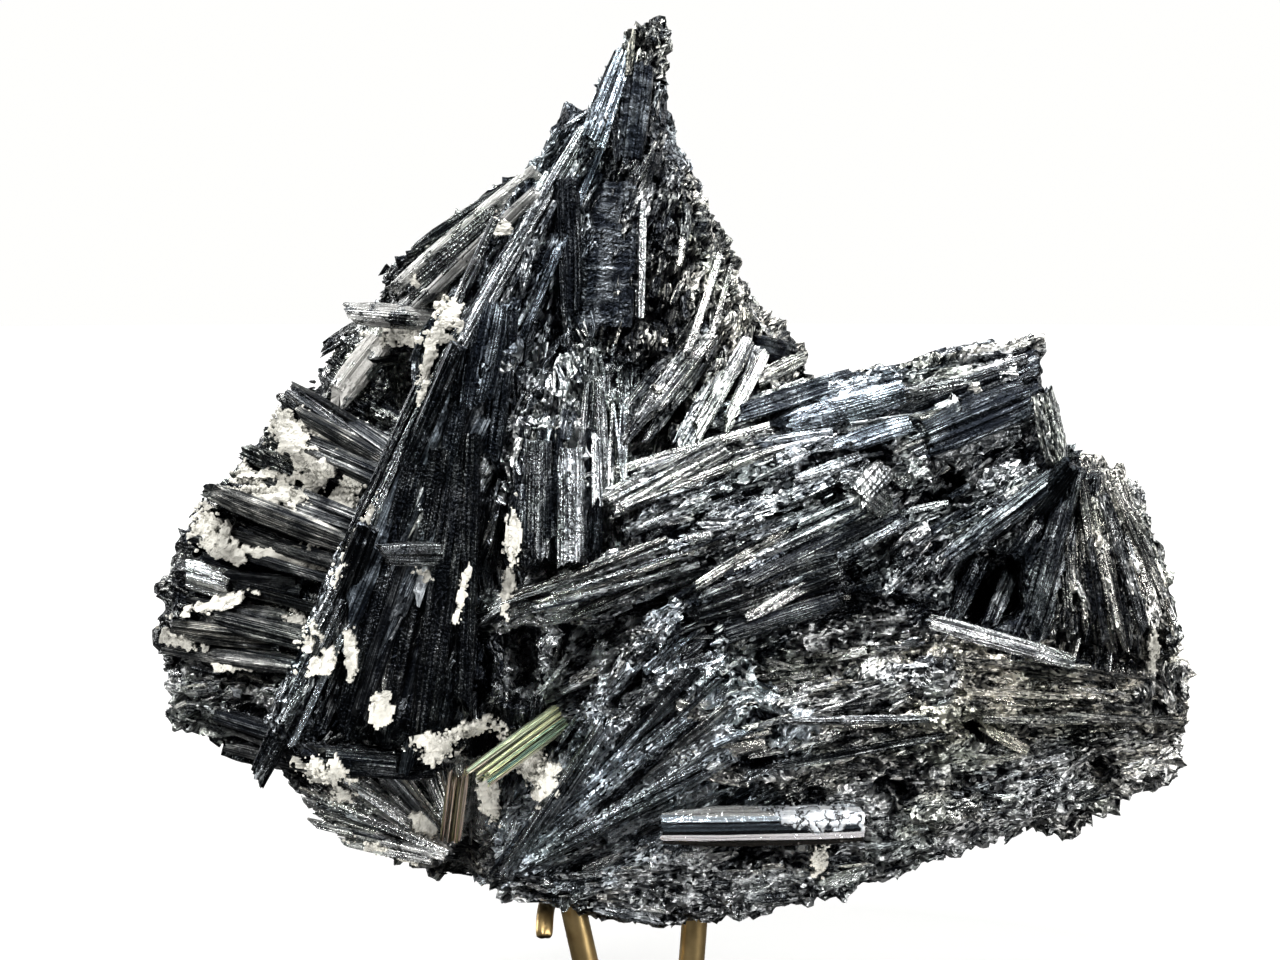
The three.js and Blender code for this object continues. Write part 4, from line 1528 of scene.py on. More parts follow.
@dataclass
class Crust(PaleCover):
    """Pale druse in sheets: knobbly, with ragged blunt edges, lying over the crystals.

    Attributes:
        name: The piece's name.
        pitch: Side of a grid square, mm.
        spill: How far the grid reaches, in half lengths of the patch.
        stretch: Share of the distance from the centre that counts.
        thickness: Thickness in the middle, mm.
        proud: How far it stands off the surface, mm.
        bury: How far its back goes into the surface, mm.
        aside: Distance to the places beside each that are read too, mm.
        ledge: Change of depth between them that it can't bridge, mm.
        beyond: Y taken where there is no surface, mm.
    """

    name: str = "pale_crust"
    pitch: float = 0.3
    spill: float = 1.9
    stretch: float = 0.67
    thickness: float = 0.7
    proud: float = 0.9
    bury: float = 0.9
    aside: float = 0.9
    ledge: float = 4.5
    beyond: float = -4.0

    def sheet(self, patch: Patch, outline: DepthMap) -> tuple[Array, Array]:
        """Makes the sheet of one patch, as a closed slab of two grids.

        On a grid over the patch, r is two thirds of the distance from its centre in half
        lengths, made ragged by noise of two sizes. Where r is under 1, the front stands proud of
        the surface by a thickness that falls as the fourth root of 1 - r, plus knobs: random
        steps in uneven cells, and fine noise.

        Beside a ledge, where the surface's depth changes by more than the sheet can bridge, r
        counts as over 1. Only the squares that lie wholly where r is under 1 are kept. Their
        free edges, those with no square on the other side, are joined to the back's.

        Args:
            patch: Where the sheet lies.
            outline: The surface as seen from the front.

        Returns:
            Its points, mm, and its four-cornered faces.
        """
        half = np.array(patch.half) * self.spill
        count = (2 * half / self.pitch).astype(int) + 3
        u, v = np.meshgrid(*(np.linspace(-h, h, c) for h, c in zip(half, count)), indexing="ij")
        x, z = patch.placed(u, v)
        flat = np.stack([x.ravel(), np.zeros(x.size), z.ravel()], 1)
        ragged = 0.9 * value_noise(flat / 1.7, 31) + 0.7 * value_noise(flat / 0.7, 32) - 0.8
        r = np.hypot(u / patch.half[0], v / patch.half[1]).ravel() * self.stretch + ragged
        blocks = np.floor(flat / 1.1 + value_noise(flat / 0.9, 35)[:, None])
        knobs = 0.45 * lattice_value(blocks, 33) + 0.35 * value_noise(flat / 0.5, 34)
        steps = self.aside * np.array([(0, 0), (1, 0), (-1, 0), (0, 1), (0, -1)])
        reads = [outline.depth(flat + (a, 0, b), self.beyond) for a, b in steps]
        level = np.mean(reads, axis=0)
        sound = outline.covers(flat, self.aside) & (np.ptp(reads, axis=0) < self.ledge)
        r = np.where(sound, r, 2.0)
        height = self.thickness * np.clip(1 - r, 0, 1) ** 0.25 + knobs
        level = level - patch.lift
        front = level - self.proud - height
        back = level + self.bury
        points = np.concatenate([flat + np.outer(y, (0, 1, 0)) for y in (front, back)])

        n, m = u.shape
        number = np.arange(n * m).reshape(n, m)
        corners = [number[:-1, :-1], number[1:, :-1], number[1:, 1:], number[:-1, 1:]]
        front_faces = np.stack([c.ravel() for c in corners], 1)
        front_faces = front_faces[(r[front_faces] < 1).all(1)]
        start, end = front_faces.ravel(), np.roll(front_faces, -1, 1).ravel()
        rim = ~np.isin(start * n * m + end, end * n * m + start)
        sides = np.stack([end[rim], start[rim], start[rim] + n * m, end[rim] + n * m], 1)
        faces = np.concatenate([front_faces, front_faces[:, ::-1] + n * m, sides])
        used, faces = np.unique(faces, return_inverse=True)
        return points[used], faces.reshape(-1, 4)

    def build(self, skin: Skin) -> Piece:
        """Makes all the sheets.

        Args:
            skin: The surface.

        Returns:
            The new object.
        """
        points, faces, start = [], [], 0
        for patch in PATCHES:
            some, quads = self.sheet(patch, skin.depth_map(-1.0, patch.nodes))
            points.append(some)
            faces.append(quads + start)
            start += len(some)
        return mesh_object(self.name, np.concatenate(points), [np.concatenate(faces)])


@dataclass
class Druse(PaleCover):
    """Pale sugary crust: small many-sided grains heaped on the surface.

    Attributes:
        name: The piece's name.
        grain_size: Least and greatest radius of a grain, mm.
        grains: Grains for each one that a patch counts.
        proud: How far the lowest stand off the surface, mm.
        margin: How far inside the outline they stay, mm.
        beyond: Y taken where there is no surface, mm.
    """

    name: str = "pale_druse"
    grain_size: Pair = (0.14, 0.42)
    grains: float = 1.6
    proud: float = 1.1
    margin: float = 0.6
    beyond: float = -5.0

    def build(self, skin: Skin, rng: Rng) -> Piece:
        """Heaps the grains of every patch.

        Args:
            skin: The surface.
            rng: The source of chance.

        Returns:
            The new object.
        """
        batches = []
        for patch in PATCHES:
            n = int(patch.count * self.grains)
            local = rng.normal(0, 0.5, (n, 2)) * patch.half
            flat = np.stack([*(local.T * 1.2), local[:, 0] * 0], 1)
            local += 0.5 * (value_noise(flat, 21) - 0.5)[:, None]
            x, z = patch.placed(*local.T)
            edge = (local / patch.half) ** 2 @ (1.0, 1.0)
            heap = 0.6 * np.exp(-edge) * rng.random(n)
            outline = skin.depth_map(-1.0, patch.nodes)
            places = np.stack([x, heap, z], 1)
            level = outline.depth(places, self.beyond)
            places[:, 1] = level - self.proud - heap - patch.lift
            batches.append(places[outline.covers(places, self.margin)])
        points = np.concatenate(batches)
        ball = bmesh.new()
        bmesh.ops.create_icosphere(ball, subdivisions=1, radius=1.0)
        corners = np.array([v.co for v in ball.verts])
        faces = np.array([[v.index for v in f.verts] for f in ball.faces])
        ball.free()
        n, k = len(points), len(corners)
        size = self.grain_size[0] + np.ptp(self.grain_size) * rng.random(n) ** 2
        shape = corners * size[:, None, None] * rng.uniform(0.6, 1.3, (n, k, 1))
        vertices = (points[:, None] + shape).reshape(-1, 3)
        numbers = (faces[None] + (np.arange(n) * k)[:, None, None]).reshape(-1, 3)
        return mesh_object(self.name, vertices, [numbers])


def dress_laths(piece: Piece, finish: "StibniteFinish") -> None:
    """Gives a mesh of laths its finish and puts it on the frame.

    Args:
        piece: The piece.
        finish: Its finish.
    """
    piece.data.materials.append(finish.material())
    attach(piece, "root")


# ---------------- finishes


class Graph:
    """A node tree under construction."""

    def __init__(self, name: str) -> None:
        """Starts a material with its shader.

        Args:
            name: The material's name.
        """
        self.material = bpy.data.materials.new(name)
        self.material.use_nodes = True
        self.tree = self.material.node_tree
        self.shader = self.tree.nodes["Principled BSDF"]

    def add(self, kind: str, links: dict | None = None, **settings: object) -> bpy.types.Node:
        """Adds a node.

        Args:
            kind: The node's type, without its ShaderNode prefix.
            links: What each input takes: an output socket or a value.
            **settings: The node's own properties.

        Returns:
            The new node.
        """
        node = self.tree.nodes.new("ShaderNode" + kind)
        for key, value in settings.items():
            setattr(node, key, value)
        for key, value in (links or {}).items():
            self.put(node.inputs[key], value)
        return node

    def put(self, socket: Socket, value: object) -> None:
        """Links an output to an input, or sets the input's value.

        Args:
            socket: The input.
            value: An output socket or a plain value.
        """
        if isinstance(value, Socket):
            self.tree.links.new(value, socket)
        else:
            socket.default_value = value

    def maths(self, operation: str, *values: object, clamp: bool = False) -> Socket:
        """Adds a sum.

        Args:
            operation: The Math node's operation.
            *values: Its inputs.
            clamp: Keeps the result from 0 to 1.

        Returns:
            The result.
        """
        node = self.add("Math", operation=operation, use_clamp=clamp)
        for socket, value in zip(node.inputs, values):
            self.put(socket, value)
        return node.outputs[0]

    def shade(self, name: str, value: object) -> None:
        """Sets an input of the material's shader.

        Args:
            name: The input.
            value: An output socket or a plain value.
        """
        self.put(self.shader.inputs[name], value)

    def mix(self, factor: object, a: object, b: object, blend: str = "MIX") -> Socket:
        """Mixes two colours.

        Args:
            factor: Share of the second.
            a: The first.
            b: The second.
            blend: The Mix node's way of mixing.

        Returns:
            The mixed colour.
        """
        node = self.add("Mix", data_type="RGBA", blend_type=blend)
        for socket, value in zip([node.inputs[i] for i in (0, 6, 7)], (factor, a, b)):
            self.put(socket, value)
        return node.outputs[2]

    def ramp(self, factor: object, stops: list[tuple[float, tuple]]) -> Socket:
        """Adds a colour ramp.

        Args:
            factor: Where on the ramp.
            stops: Places from 0 to 1 with their colours.

        Returns:
            The colour.
        """
        node = self.add("ValToRGB", {"Fac": factor})
        ramp = node.color_ramp
        while len(ramp.elements) < len(stops):
            ramp.elements.new(0.5)
        for element, (place, colour) in zip(ramp.elements, stops):
            element.position = place
            element.color = (*colour, 1.0)
        return node.outputs["Color"]

    def multiplied(self, factor: object, a: object, b: object) -> Socket:
        """Tints one colour by another.

        Args:
            factor: How strongly.
            a: The colour.
            b: The tint.

        Returns:
            The tinted colour.
        """
        return self.mix(factor, a, b, "MULTIPLY")

    def swung(self, value: object, amount: object, level: object) -> Socket:
        """Moves a level up or down by how far a value is from a half.

        Args:
            value: The value, 0 to 1.
            amount: Change of level for a whole unit of it.
            level: The level.

        Returns:
            The moved level.
        """
        return self.maths("MULTIPLY_ADD", self.maths("SUBTRACT", value, 0.5), amount, level)

    def step(self, value: object, low: float, high: float) -> Socket:
        """Sharpens a value: 0 below one level, 1 above another, even between.

        Args:
            value: The value.
            low: The lower level.
            high: The upper level.

        Returns:
            The sharpened value.
        """
        links = {"Value": value, "From Min": low, "From Max": high}
        return self.add("MapRange", links, clamp=True).outputs[0]

    def noise(self, vector: object, scale: float, detail: float = 3) -> Socket:
        """Adds a noise texture.

        Args:
            vector: Where to read it.
            scale: Its scale.
            detail: Its octaves.

        Returns:
            A value from 0 to 1.
        """
        links = {"Vector": vector, "Scale": scale, "Detail": detail}
        return self.add("TexNoise", links).outputs["Fac"]

    def cells(self, vector: object, scale: Vec) -> Socket:
        """Divides space into cells, each with a colour of its own.

        Args:
            vector: Where to read them.
            scale: Cells per unit, along each direction.

        Returns:
            The colour, from 0 to 1 in each channel.
        """
        links = {"Vector": self.scaled(vector, scale), "Scale": 1.0}
        return self.add("TexVoronoi", links).outputs["Color"]

    def tilted(self, turns: list[tuple[object, object]]) -> Socket:
        """Turns the surface normal by random vectors, which makes small flat facets of it.

        Args:
            turns: Colours to turn by, each with its amount.

        Returns:
            The turned normal.
        """
        total = self.add("NewGeometry").outputs["Normal"]
        for colour, amount in turns:
            centred = self.add("VectorMath", operation="SUBTRACT")
            self.put(centred.inputs[0], colour)
            centred.inputs[1].default_value = (0.5, 0.5, 0.5)
            sized = self.add("VectorMath", operation="SCALE")
            self.put(sized.inputs[0], centred.outputs[0])
            self.put(sized.inputs["Scale"], amount)
            summed = self.add("VectorMath", operation="ADD")
            self.put(summed.inputs[0], total)
            self.put(summed.inputs[1], sized.outputs[0])
            total = summed.outputs[0]
        return self.add("VectorMath", {0: total}, operation="NORMALIZE").outputs[0]

    def scaled(self, vector: object, scale: Vec) -> Socket:
        """Stretches a vector.

        Args:
            vector: The vector.
            scale: Its three factors.

        Returns:
            The stretched vector.
        """
        return self.add("Mapping", {"Vector": vector, "Scale": scale}).outputs["Vector"]

    def bump(
        self, height: object, distance: float, strength: float, under: object = None
    ) -> Socket:
        """Adds a bump.

        Args:
            height: The height.
            distance: Height of a full step, metres.
            strength: From 0 to 1.
            under: A normal to add it to.

        Returns:
            The bumped normal.
        """
        links = {"Height": height, "Distance": distance, "Strength": strength}
        node = self.add("Bump", links)
        if under is not None:
            self.put(node.inputs["Normal"], under)
        return node.outputs["Normal"]


@dataclass(frozen=True)
class StibniteFinish:
    """Lead-grey metal, grooved along the grain, from black hollows to bright glints.

    Attributes:
        name: The material's name.
        grooved: True where the piece's own texture places run along its laths.
        dark: Colour of the darkest faces.
        middle: Colour of dark grey faces.
        pale: Colour of light grey faces.
        bright: Colour of the brightest.
        tilt: How far the small facets turn from the surface, on rough crystals.
        broad_cells: Facets per mm along, across and into the grain.
        narrow_cells: The same for the smaller facets.
        stripe_scale: Stripes per mm.
        cell_contrast: How far the small facets differ in brightness, on rough crystals.
        line_contrast: How far the stripes do, on smooth ones.
        roughness: Least roughness.
    """

    name: str
    grooved: bool = True
    dark: Vec = (0.006, 0.007, 0.009)
    middle: Vec = (0.065, 0.070, 0.075)
    pale: Vec = (0.34, 0.35, 0.355)
    bright: Vec = (0.88, 0.885, 0.88)
    tilt: float = 1.5
    broad_cells: Vec = (0.3, 1.1, 1.1)
    narrow_cells: Vec = (1.5, 3.1, 3.1)
    stripe_scale: Vec = (0.05, 3.6, 3.6)
    cell_contrast: float = 0.8
    line_contrast: float = 0.42
    roughness: float = 0.13

    def material(self) -> Material:
        """Makes the material.

        Returns:
            The material.
        """
        known = bpy.data.materials.get(self.name)
        if known:
            return known
        g = Graph(self.name)
        place = g.add("TexCoord").outputs["Object"]
        look = g.add("Attribute", attribute_name="look", attribute_type="GEOMETRY")
        parts = g.add("SeparateColor", {"Color": look.outputs["Color"]}).outputs
        tone, tint, gloss = parts["Red"], parts["Green"], parts["Blue"]
        if self.grooved:
            run = g.add("TexCoord").outputs["UV"]
        else:
            run = g.add("Attribute", attribute_name="grain", attribute_type="GEOMETRY")
            run = run.outputs["Vector"]
        broad = g.cells(run, self.broad_cells)
        narrow = g.cells(run, self.narrow_cells)
        own = g.add("SeparateColor", {"Color": narrow}).outputs["Red"]
        patch = g.maths("MULTIPLY_ADD", g.noise(place, 230, 2), 4.0, -0.95)
        rough = g.maths("SUBTRACT", patch, g.maths("MULTIPLY", gloss, 1.6), clamp=True)
        even = g.maths("SUBTRACT", 1.0, rough)
        threads = g.noise(g.scaled(run, self.stripe_scale), 1.0, 2)
        lines = g.step(threads, 0.43, 0.57)
        mottle = g.noise(place, 300, 4)

        level = g.swung(mottle, 0.9, tone)
        drift = g.noise(g.scaled(run, (0.16, 0.7, 0.7)), 1.0, 2)
        level = g.swung(drift, 0.9, level)
        line_share = g.maths("MULTIPLY_ADD", even, self.line_contrast - 0.1, 0.1)
        level = g.swung(lines, line_share, level)
        cell_share = g.maths("MULTIPLY_ADD", rough, self.cell_contrast - 0.06, 0.06)
        level = g.swung(own, cell_share, level)
        level = g.maths("MULTIPLY_ADD", rough, 0.16, level)
        greys = (self.dark, self.middle, self.pale, self.bright)
        grey = g.ramp(level, list(zip((0.05, 0.34, 0.62, 0.92), greys)))
        cool = g.maths("MULTIPLY", g.maths("SUBTRACT", tint, 0.5), 1.1, clamp=True)
        warm = g.maths("MULTIPLY", g.maths("SUBTRACT", 0.5, tint), 1.6, clamp=True)
        colour = g.multiplied(warm, grey, (1.0, 0.92, 0.76, 1))
        colour = g.multiplied(cool, colour, (0.62, 0.80, 1.0, 1))
        green = g.step(g.noise(place, 95, 2), 0.5, 0.62)
        colour = g.multiplied(g.maths("MULTIPLY", green, 0.2), colour, (0.82, 1.0, 0.84, 1))

        film = g.step(g.noise(place, 420, 5), 0.42, 0.5)
        film = g.maths("MULTIPLY", look.outputs["Alpha"], film, clamp=True)
        colour = g.mix(film, colour, (0.26, 0.255, 0.24, 1))
        g.shade("Base Color", colour)
        smooth = g.maths("MULTIPLY_ADD", rough, 0.14, self.roughness)
        smooth = g.maths("MULTIPLY_ADD", own, 0.16, smooth)
        coated = g.maths("MULTIPLY", film, 0.85)
        g.shade("Roughness", g.maths("MAXIMUM", smooth, coated))
        g.shade("Metallic", g.maths("SUBTRACT", 1.0, film, clamp=True))

        tilt = g.maths("MULTIPLY_ADD", rough, self.tilt, 0.1)
        normal = g.tilted([(broad, g.maths("MULTIPLY", tilt, 0.4)), (narrow, tilt)])
        normal = g.bump(threads, 0.0005, 0.8, normal)
        grit = g.noise(place, 2400, 2)
        normal = g.bump(grit, 0.0004, 0.6, normal)
        g.shade("Normal", normal)
        return g.material


BODY_FACES = StibniteFinish("stibnite_body", grooved=False)
LATH_FACES = StibniteFinish("stibnite_laths")
MATT_FACES = StibniteFinish(
    "matt_stibnite", tilt=0.5, cell_contrast=0.35, line_contrast=0.34, roughness=0.36
)
NEEDLE_FACES = StibniteFinish(
    "needle_faces",
    tilt=0.3,
    cell_contrast=0.2,
    line_contrast=0.5,
    roughness=0.17,
    stripe_scale=(0.04, 2.2, 2.2),
)
SLAB_FACES = StibniteFinish(
    "slab_faces",
    tilt=0.35,
    cell_contrast=0.2,
    line_contrast=0.13,
    roughness=0.22,
    broad_cells=(0.25, 0.2, 0.2),
    narrow_cells=(1.1, 0.35, 0.35),
    stripe_scale=(0.9, 0.3, 0.3),
)


@dataclass(frozen=True)
class TarnishFinish:
    """Metal with bands of pale tarnish along the crystal, parted by fine dark seams.

    Attributes:
        name: The material's name.
        colours: The bands' colours, from one end of the noise to the other.
        bands: Bands per mm across the crystal.
    """

    name: str
    colours: tuple[Vec, ...]
    bands: float = 0.8

    def material(self) -> Material:
        """Makes the material.

        Returns:
            The material.
        """
        g = Graph(self.name)
        run = g.add("TexCoord").outputs["UV"]
        place = g.add("TexCoord").outputs["Object"]
        bands = g.noise(g.scaled(run, (0.02, self.bands, 1)), 1.0, 2)
        lines = g.noise(g.scaled(run, (0.03, 4.0, 1)), 1.0, 2)
        stops = np.linspace(0.34, 0.66, len(self.colours)).tolist()
        colour = g.ramp(bands, list(zip(stops, self.colours)))
        seams = g.ramp(lines, [(0.44, (0.06, 0.06, 0.06)), (0.5, (1, 1, 1))])
        g.shade("Base Color", g.multiplied(1.0, colour, seams))
        g.shade("Metallic", 0.75)
        g.shade("Roughness", g.maths("MULTIPLY_ADD", lines, 0.3, 0.2))
        normal = g.bump(lines, 0.0005, 0.6)
        g.shade("Normal", g.bump(g.noise(place, 1500, 3), 0.0002, 0.3, normal))
        return g.material


@dataclass(frozen=True)
class MirrorFinish:
    """A prism's mirror faces: bright and black strips along it, and one end crazed white.

    The strips are painted reflections, set by height.

    Attributes:
        name: The material's name.
        foot: Height of its lower edge in the part's frame, mm.
        height: Its height, mm.
        sound: X at which the crazed end begins, mm.
        strips: Share of the height at which each painted reflection strip begins, with its colour.
    """

    name: str = "mirror_faces"
    foot: float = 39.8
    height: float = 6.0
    sound: float = 14.0
    strips: tuple[tuple[float, Vec], ...] = (
        (0.0, (0.02, 0.018, 0.016)),
        (0.25, (0.90, 0.87, 0.89)),
        (0.41, (0.008, 0.009, 0.011)),
        (0.5, (0.06, 0.075, 0.09)),
        (0.66, (0.010, 0.012, 0.014)),
        (0.72, (0.75, 0.86, 0.95)),
        (0.85, (0.97, 0.98, 0.96)),
    )

    def material(self) -> Material:
        """Makes the material.

        Returns:
            The material.
        """
        g = Graph(self.name)
        run = g.add("TexCoord").outputs["UV"]
        place = g.add("TexCoord").outputs["Object"]
        parts = g.add("SeparateXYZ", {"Vector": g.scaled(place, (1000, 1000, 1000))}).outputs
        lines = g.noise(g.scaled(run, (0.02, 3.0, 1)), 1.0, 2)
        # Painted reflections: height up the prism picks the bright and black strips.
        rise = g.maths("DIVIDE", g.maths("SUBTRACT", parts["Z"], self.foot), self.height)
        rise = g.swung(lines, 0.07, rise)
        stops, before = [], None
        for start, colour in self.strips:
            if before:
                stops.append((start - 0.012, before))
            stops.append((start, colour))
            before = colour
        colour = g.ramp(rise, stops)
        threads = g.ramp(lines, [(0.36, (0.3, 0.3, 0.3)), (0.46, (1, 1, 1))])
        colour = g.multiplied(0.8, colour, threads)
        wander = g.maths("SUBTRACT", g.noise(place, 300, 3), 0.5)
        reach = g.maths("MULTIPLY_ADD", wander, 12.0, parts["X"])
        crazed = g.step(reach, self.sound, self.sound + 0.5)
        high = g.step(g.maths("MULTIPLY_ADD", wander, 0.9, rise), 0.5, 0.56)
        crazed = g.maths("MULTIPLY", crazed, high)
        veins = g.maths("ABSOLUTE", g.maths("SUBTRACT", g.noise(place, 420, 4), 0.5))
        crack, edge, face = (0.03, 0.03, 0.03), (0.66, 0.70, 0.74), (0.93, 0.95, 0.97)
        white = g.ramp(veins, [(0.008, crack), (0.03, edge), (0.12, face)])
        g.shade("Base Color", g.mix(crazed, colour, white))
        g.shade("Metallic", 0.85)
        g.shade("Roughness", g.maths("MULTIPLY_ADD", crazed, 0.25, 0.16))
        normal = g.bump(lines, 0.0004, 0.4)
        g.shade("Normal", g.bump(veins, 0.0009, 0.7, normal))
        return g.material


@dataclass(frozen=True)
class DruseFinish:
    """Cream crust, matt and grainy.

    Attributes:
        name: The material's name.
    """

    name: str = "cream_druse"

    def material(self) -> Material:
        """Makes the material.

        Returns:
            The material.
        """
        g = Graph(self.name)
        place = g.add("TexCoord").outputs["Object"]
        stain = g.noise(place, 140, 4)
        grain = g.noise(place, 2200, 3)
        dark, middle, pale = (0.07, 0.066, 0.056), (0.18, 0.175, 0.155), (0.34, 0.33, 0.295)
        colour = g.ramp(stain, [(0.3, dark), (0.44, middle), (0.6, pale)])
        g.shade("Base Color", colour)
        g.shade("Roughness", g.maths("MULTIPLY_ADD", grain, 0.4, 0.45))
        g.shade("Normal", g.bump(grain, 0.0002, 0.5))
        return g.material


@dataclass(frozen=True)
class BrassFinish:
    """Drawn brass, softly polished and a little mottled.

    Attributes:
        name: The material's name.
        fresh: Colour where it is clean.
        aged: Colour where it has darkened.
    """

    name: str = "aged_brass"
    fresh: Vec = (0.72, 0.52, 0.24)
    aged: Vec = (0.36, 0.24, 0.10)

    def material(self) -> Material:
        """Makes the material.

        Returns:
            The material.
        """
        known = bpy.data.materials.get(self.name)
        if known:
            return known
        g = Graph(self.name)
        place = g.add("TexCoord").outputs["Object"]
        patches = g.noise(place, 180, 5)
        spots = g.noise(place, 900, 3)
        share = g.ramp(patches, [(0.4, (0, 0, 0)), (0.68, (1, 1, 1))])
        colour = g.mix(share, (*self.fresh, 1), (*self.aged, 1))
        g.shade("Base Color", colour)
        g.shade("Roughness", g.maths("MULTIPLY_ADD", patches, 0.35, 0.2))
        g.shade("Metallic", 1.0)
        drawn = g.noise(g.scaled(place, (1, 1, 0.05)), 3000, 2)
        g.shade("Normal", g.bump(spots, 0.0001, 0.25, g.bump(drawn, 0.00004, 0.3)))
        return g.material


@dataclass(frozen=True)
class FloorFinish:
    """A plain pale tabletop that brightens to white away from the object.

    Glossy rays see it painted near black, a painted dark reflection, and rays that are neither
    glossy nor the camera's see it glow faintly, which is painted light.

    Attributes:
        name: The material's name.
        seen: Share of its brightness that is left where it is seen directly.
        fill_from: Distance at which it starts to glow, metres.
        fill_to: Distance from which the glow is full.
    """

    name: str = "pale_floor"
    seen: float = 0.24
    fill_from: float = 0.12
    fill_to: float = 0.6

    def material(self) -> Material:
        """Makes the material.

        Returns:
            The material.
        """
        g = Graph(self.name)
        place = g.add("TexCoord").outputs["Object"]
        shade = g.noise(place, 3, 3)
        rays = g.add("LightPath").outputs
        glossy, seen = rays["Is Glossy Ray"], rays["Is Camera Ray"]
        pale = g.mix(shade, (0.96, 0.96, 0.95, 1), (0.94, 0.94, 0.935, 1))
        dulled = g.multiplied(seen, pale, (self.seen, self.seen, self.seen, 1))
        # Painted dark reflection: glossy rays see the floor near black.
        g.shade("Base Color", g.mix(glossy, dulled, (0.03, 0.03, 0.03, 1)))
        away = g.add("VectorMath", {0: place}, operation="LENGTH").outputs["Value"]
        fill = g.maths("MULTIPLY", g.step(away, self.fill_from, self.fill_to), seen)
        # Painted light: rays that are neither glossy nor the camera's see the floor glow faintly.
        hidden = g.maths("SUBTRACT", g.maths("SUBTRACT", 1.0, glossy), seen, clamp=True)
        g.shade("Emission Color", (1.0, 1.0, 1.0, 1.0))
        g.shade("Emission Strength", g.maths("MULTIPLY_ADD", hidden, 0.1, fill))
        g.shade("Roughness", 0.8)
        g.shade("Specular IOR Level", 0.1)
        return g.material


GREEN_BANDS = (
    (0.17, 0.34, 0.32),
    (0.30, 0.40, 0.28),
    (0.52, 0.52, 0.31),
    (0.38, 0.43, 0.33),
    (0.50, 0.40, 0.34),
)
ROSY_BANDS = (
    (0.05, 0.05, 0.04),
    (0.34, 0.31, 0.16),
    (0.14, 0.14, 0.13),
    (0.52, 0.34, 0.27),
    (0.55, 0.53, 0.47),
)
TARNISHED_LOOK = (0.5, 0.5, 0.8, 0.0)
TARNISHED_CRYSTALS = [
    (
        FreeCrystal("iridescent_blade", "tarnished_crystal", TARNISHED_LOOK, parts=4),
        TarnishFinish("green_tarnish", GREEN_BANDS),
    ),
    (
        FreeCrystal("iridescent_lath", "tarnished_crystal", TARNISHED_LOOK, parts=4),
        TarnishFinish("rosy_tarnish", ROSY_BANDS, bands=1.5),
    ),
]


# ---------------- studio


@dataclass(frozen=True)
class Studio:
    """The camera, floor and lights.

    Attributes:
        target: What the camera looks at, mm.
        view_width: Width of the view there, mm.
        distance: From there to the camera, mm.
        elevation: Angle at which it looks down, degrees.
        floor_radius: Radius of the floor, mm.
        lights: Name, place and two sides of each light, metres, and its power, watts.
        lit: What the lights face, metres.
        sky: Colour of the room's light.
        mirrored: Share of the room's brightness that shows in reflections.
    """

    target: Vec = (-4.95, -8.0, 66.75)
    view_width: float = 192.0
    distance: float = 480.0
    elevation: float = 5.0
    floor_radius: float = 3000.0
    lights: tuple[tuple[str, Vec, Pair, float], ...] = (
        ("top", (0.05, -0.12, 0.75), (0.4, 0.3), 19),
        ("front_left", (-0.5, -0.65, 0.6), (0.25, 0.25), 9),
        ("front_right", (0.6, -0.5, 0.25), (0.15, 0.4), 4),
        ("rear_right", (0.55, 0.4, 0.35), (0.2, 0.4), 3),
        ("rear_left", (-0.6, 0.35, 0.3), (0.2, 0.4), 4),
    )
    lit: Vec = (0, 0, 0.09)
    sky: Vec = (1.0, 0.998, 0.985)
    mirrored: float = 0.012

    def camera(self) -> Piece:
        """Makes the camera, looking along +Y and a little down.

        Returns:
            The camera.
        """
        data = bpy.data.cameras.new("camera")
        data.sensor_width = 36
        data.lens = 36 * self.distance / self.view_width
        data.clip_start, data.clip_end = 0.01, 20
        camera = add_object("camera", data)
        tilt = math.radians(self.elevation)
        back = Vector((0, -math.cos(tilt), math.sin(tilt)))
        aim = Vector(to_frame(np.array(self.target)))
        camera.location = aim + back * self.distance * MM
        camera.rotation_euler = (-back).to_track_quat("-Z", "Y").to_euler()
        bpy.context.scene.camera = camera
        return camera

    def floor(self) -> Piece:
        """Makes the floor: one round sheet.

        Returns:
            The floor.
        """
        sides = 96
        angle = np.linspace(0, 2 * np.pi, sides, endpoint=False)
        rim = np.stack([np.cos(angle), np.sin(angle), np.zeros(sides)], 1) * self.floor_radius
        rim[:, 2] = -LIFT
        floor = mesh_object("floor", rim, [np.arange(sides)[None]])
        floor.data.materials.append(FloorFinish().material())
        return floor

    def light(self, name: str, place: Vec, size: Pair, power: float) -> None:
        """Makes one soft rectangular light.

        Args:
            name: Its name.
            place: Where it is, metres.
            size: Its two sides, metres.
            power: Its power, watts.
        """
        data = bpy.data.lights.new(name, "AREA")
        data.shape = "RECTANGLE"
        data.size, data.size_y = size
        data.energy = power
        lamp = add_object(name, data)
        lamp.location = place
        aim = Vector(self.lit) - Vector(place)
        lamp.rotation_euler = aim.to_track_quat("-Z", "Y").to_euler()

    def build(self) -> None:
        """Makes the whole studio."""
        self.camera()
        self.floor()
        for light in self.lights:
            self.light(*light)
        world = bpy.data.worlds.new("studio")
        bpy.context.scene.world = world
        world.use_nodes = True
        tree = world.node_tree
        background = tree.nodes["Background"]
        path = tree.nodes.new("ShaderNodeLightPath")
        strength = tree.nodes.new("ShaderNodeMix")
        strength.data_type = "FLOAT"
        tree.links.new(path.outputs["Is Glossy Ray"], strength.inputs[0])
        strength.inputs[2].default_value = 1.0
        strength.inputs[3].default_value = self.mirrored
        tree.links.new(strength.outputs[0], background.inputs["Strength"])
        background.inputs["Color"].default_value = (*self.sky, 1)
        bpy.context.scene.view_settings.view_transform = "Standard"


# ---------------- stand


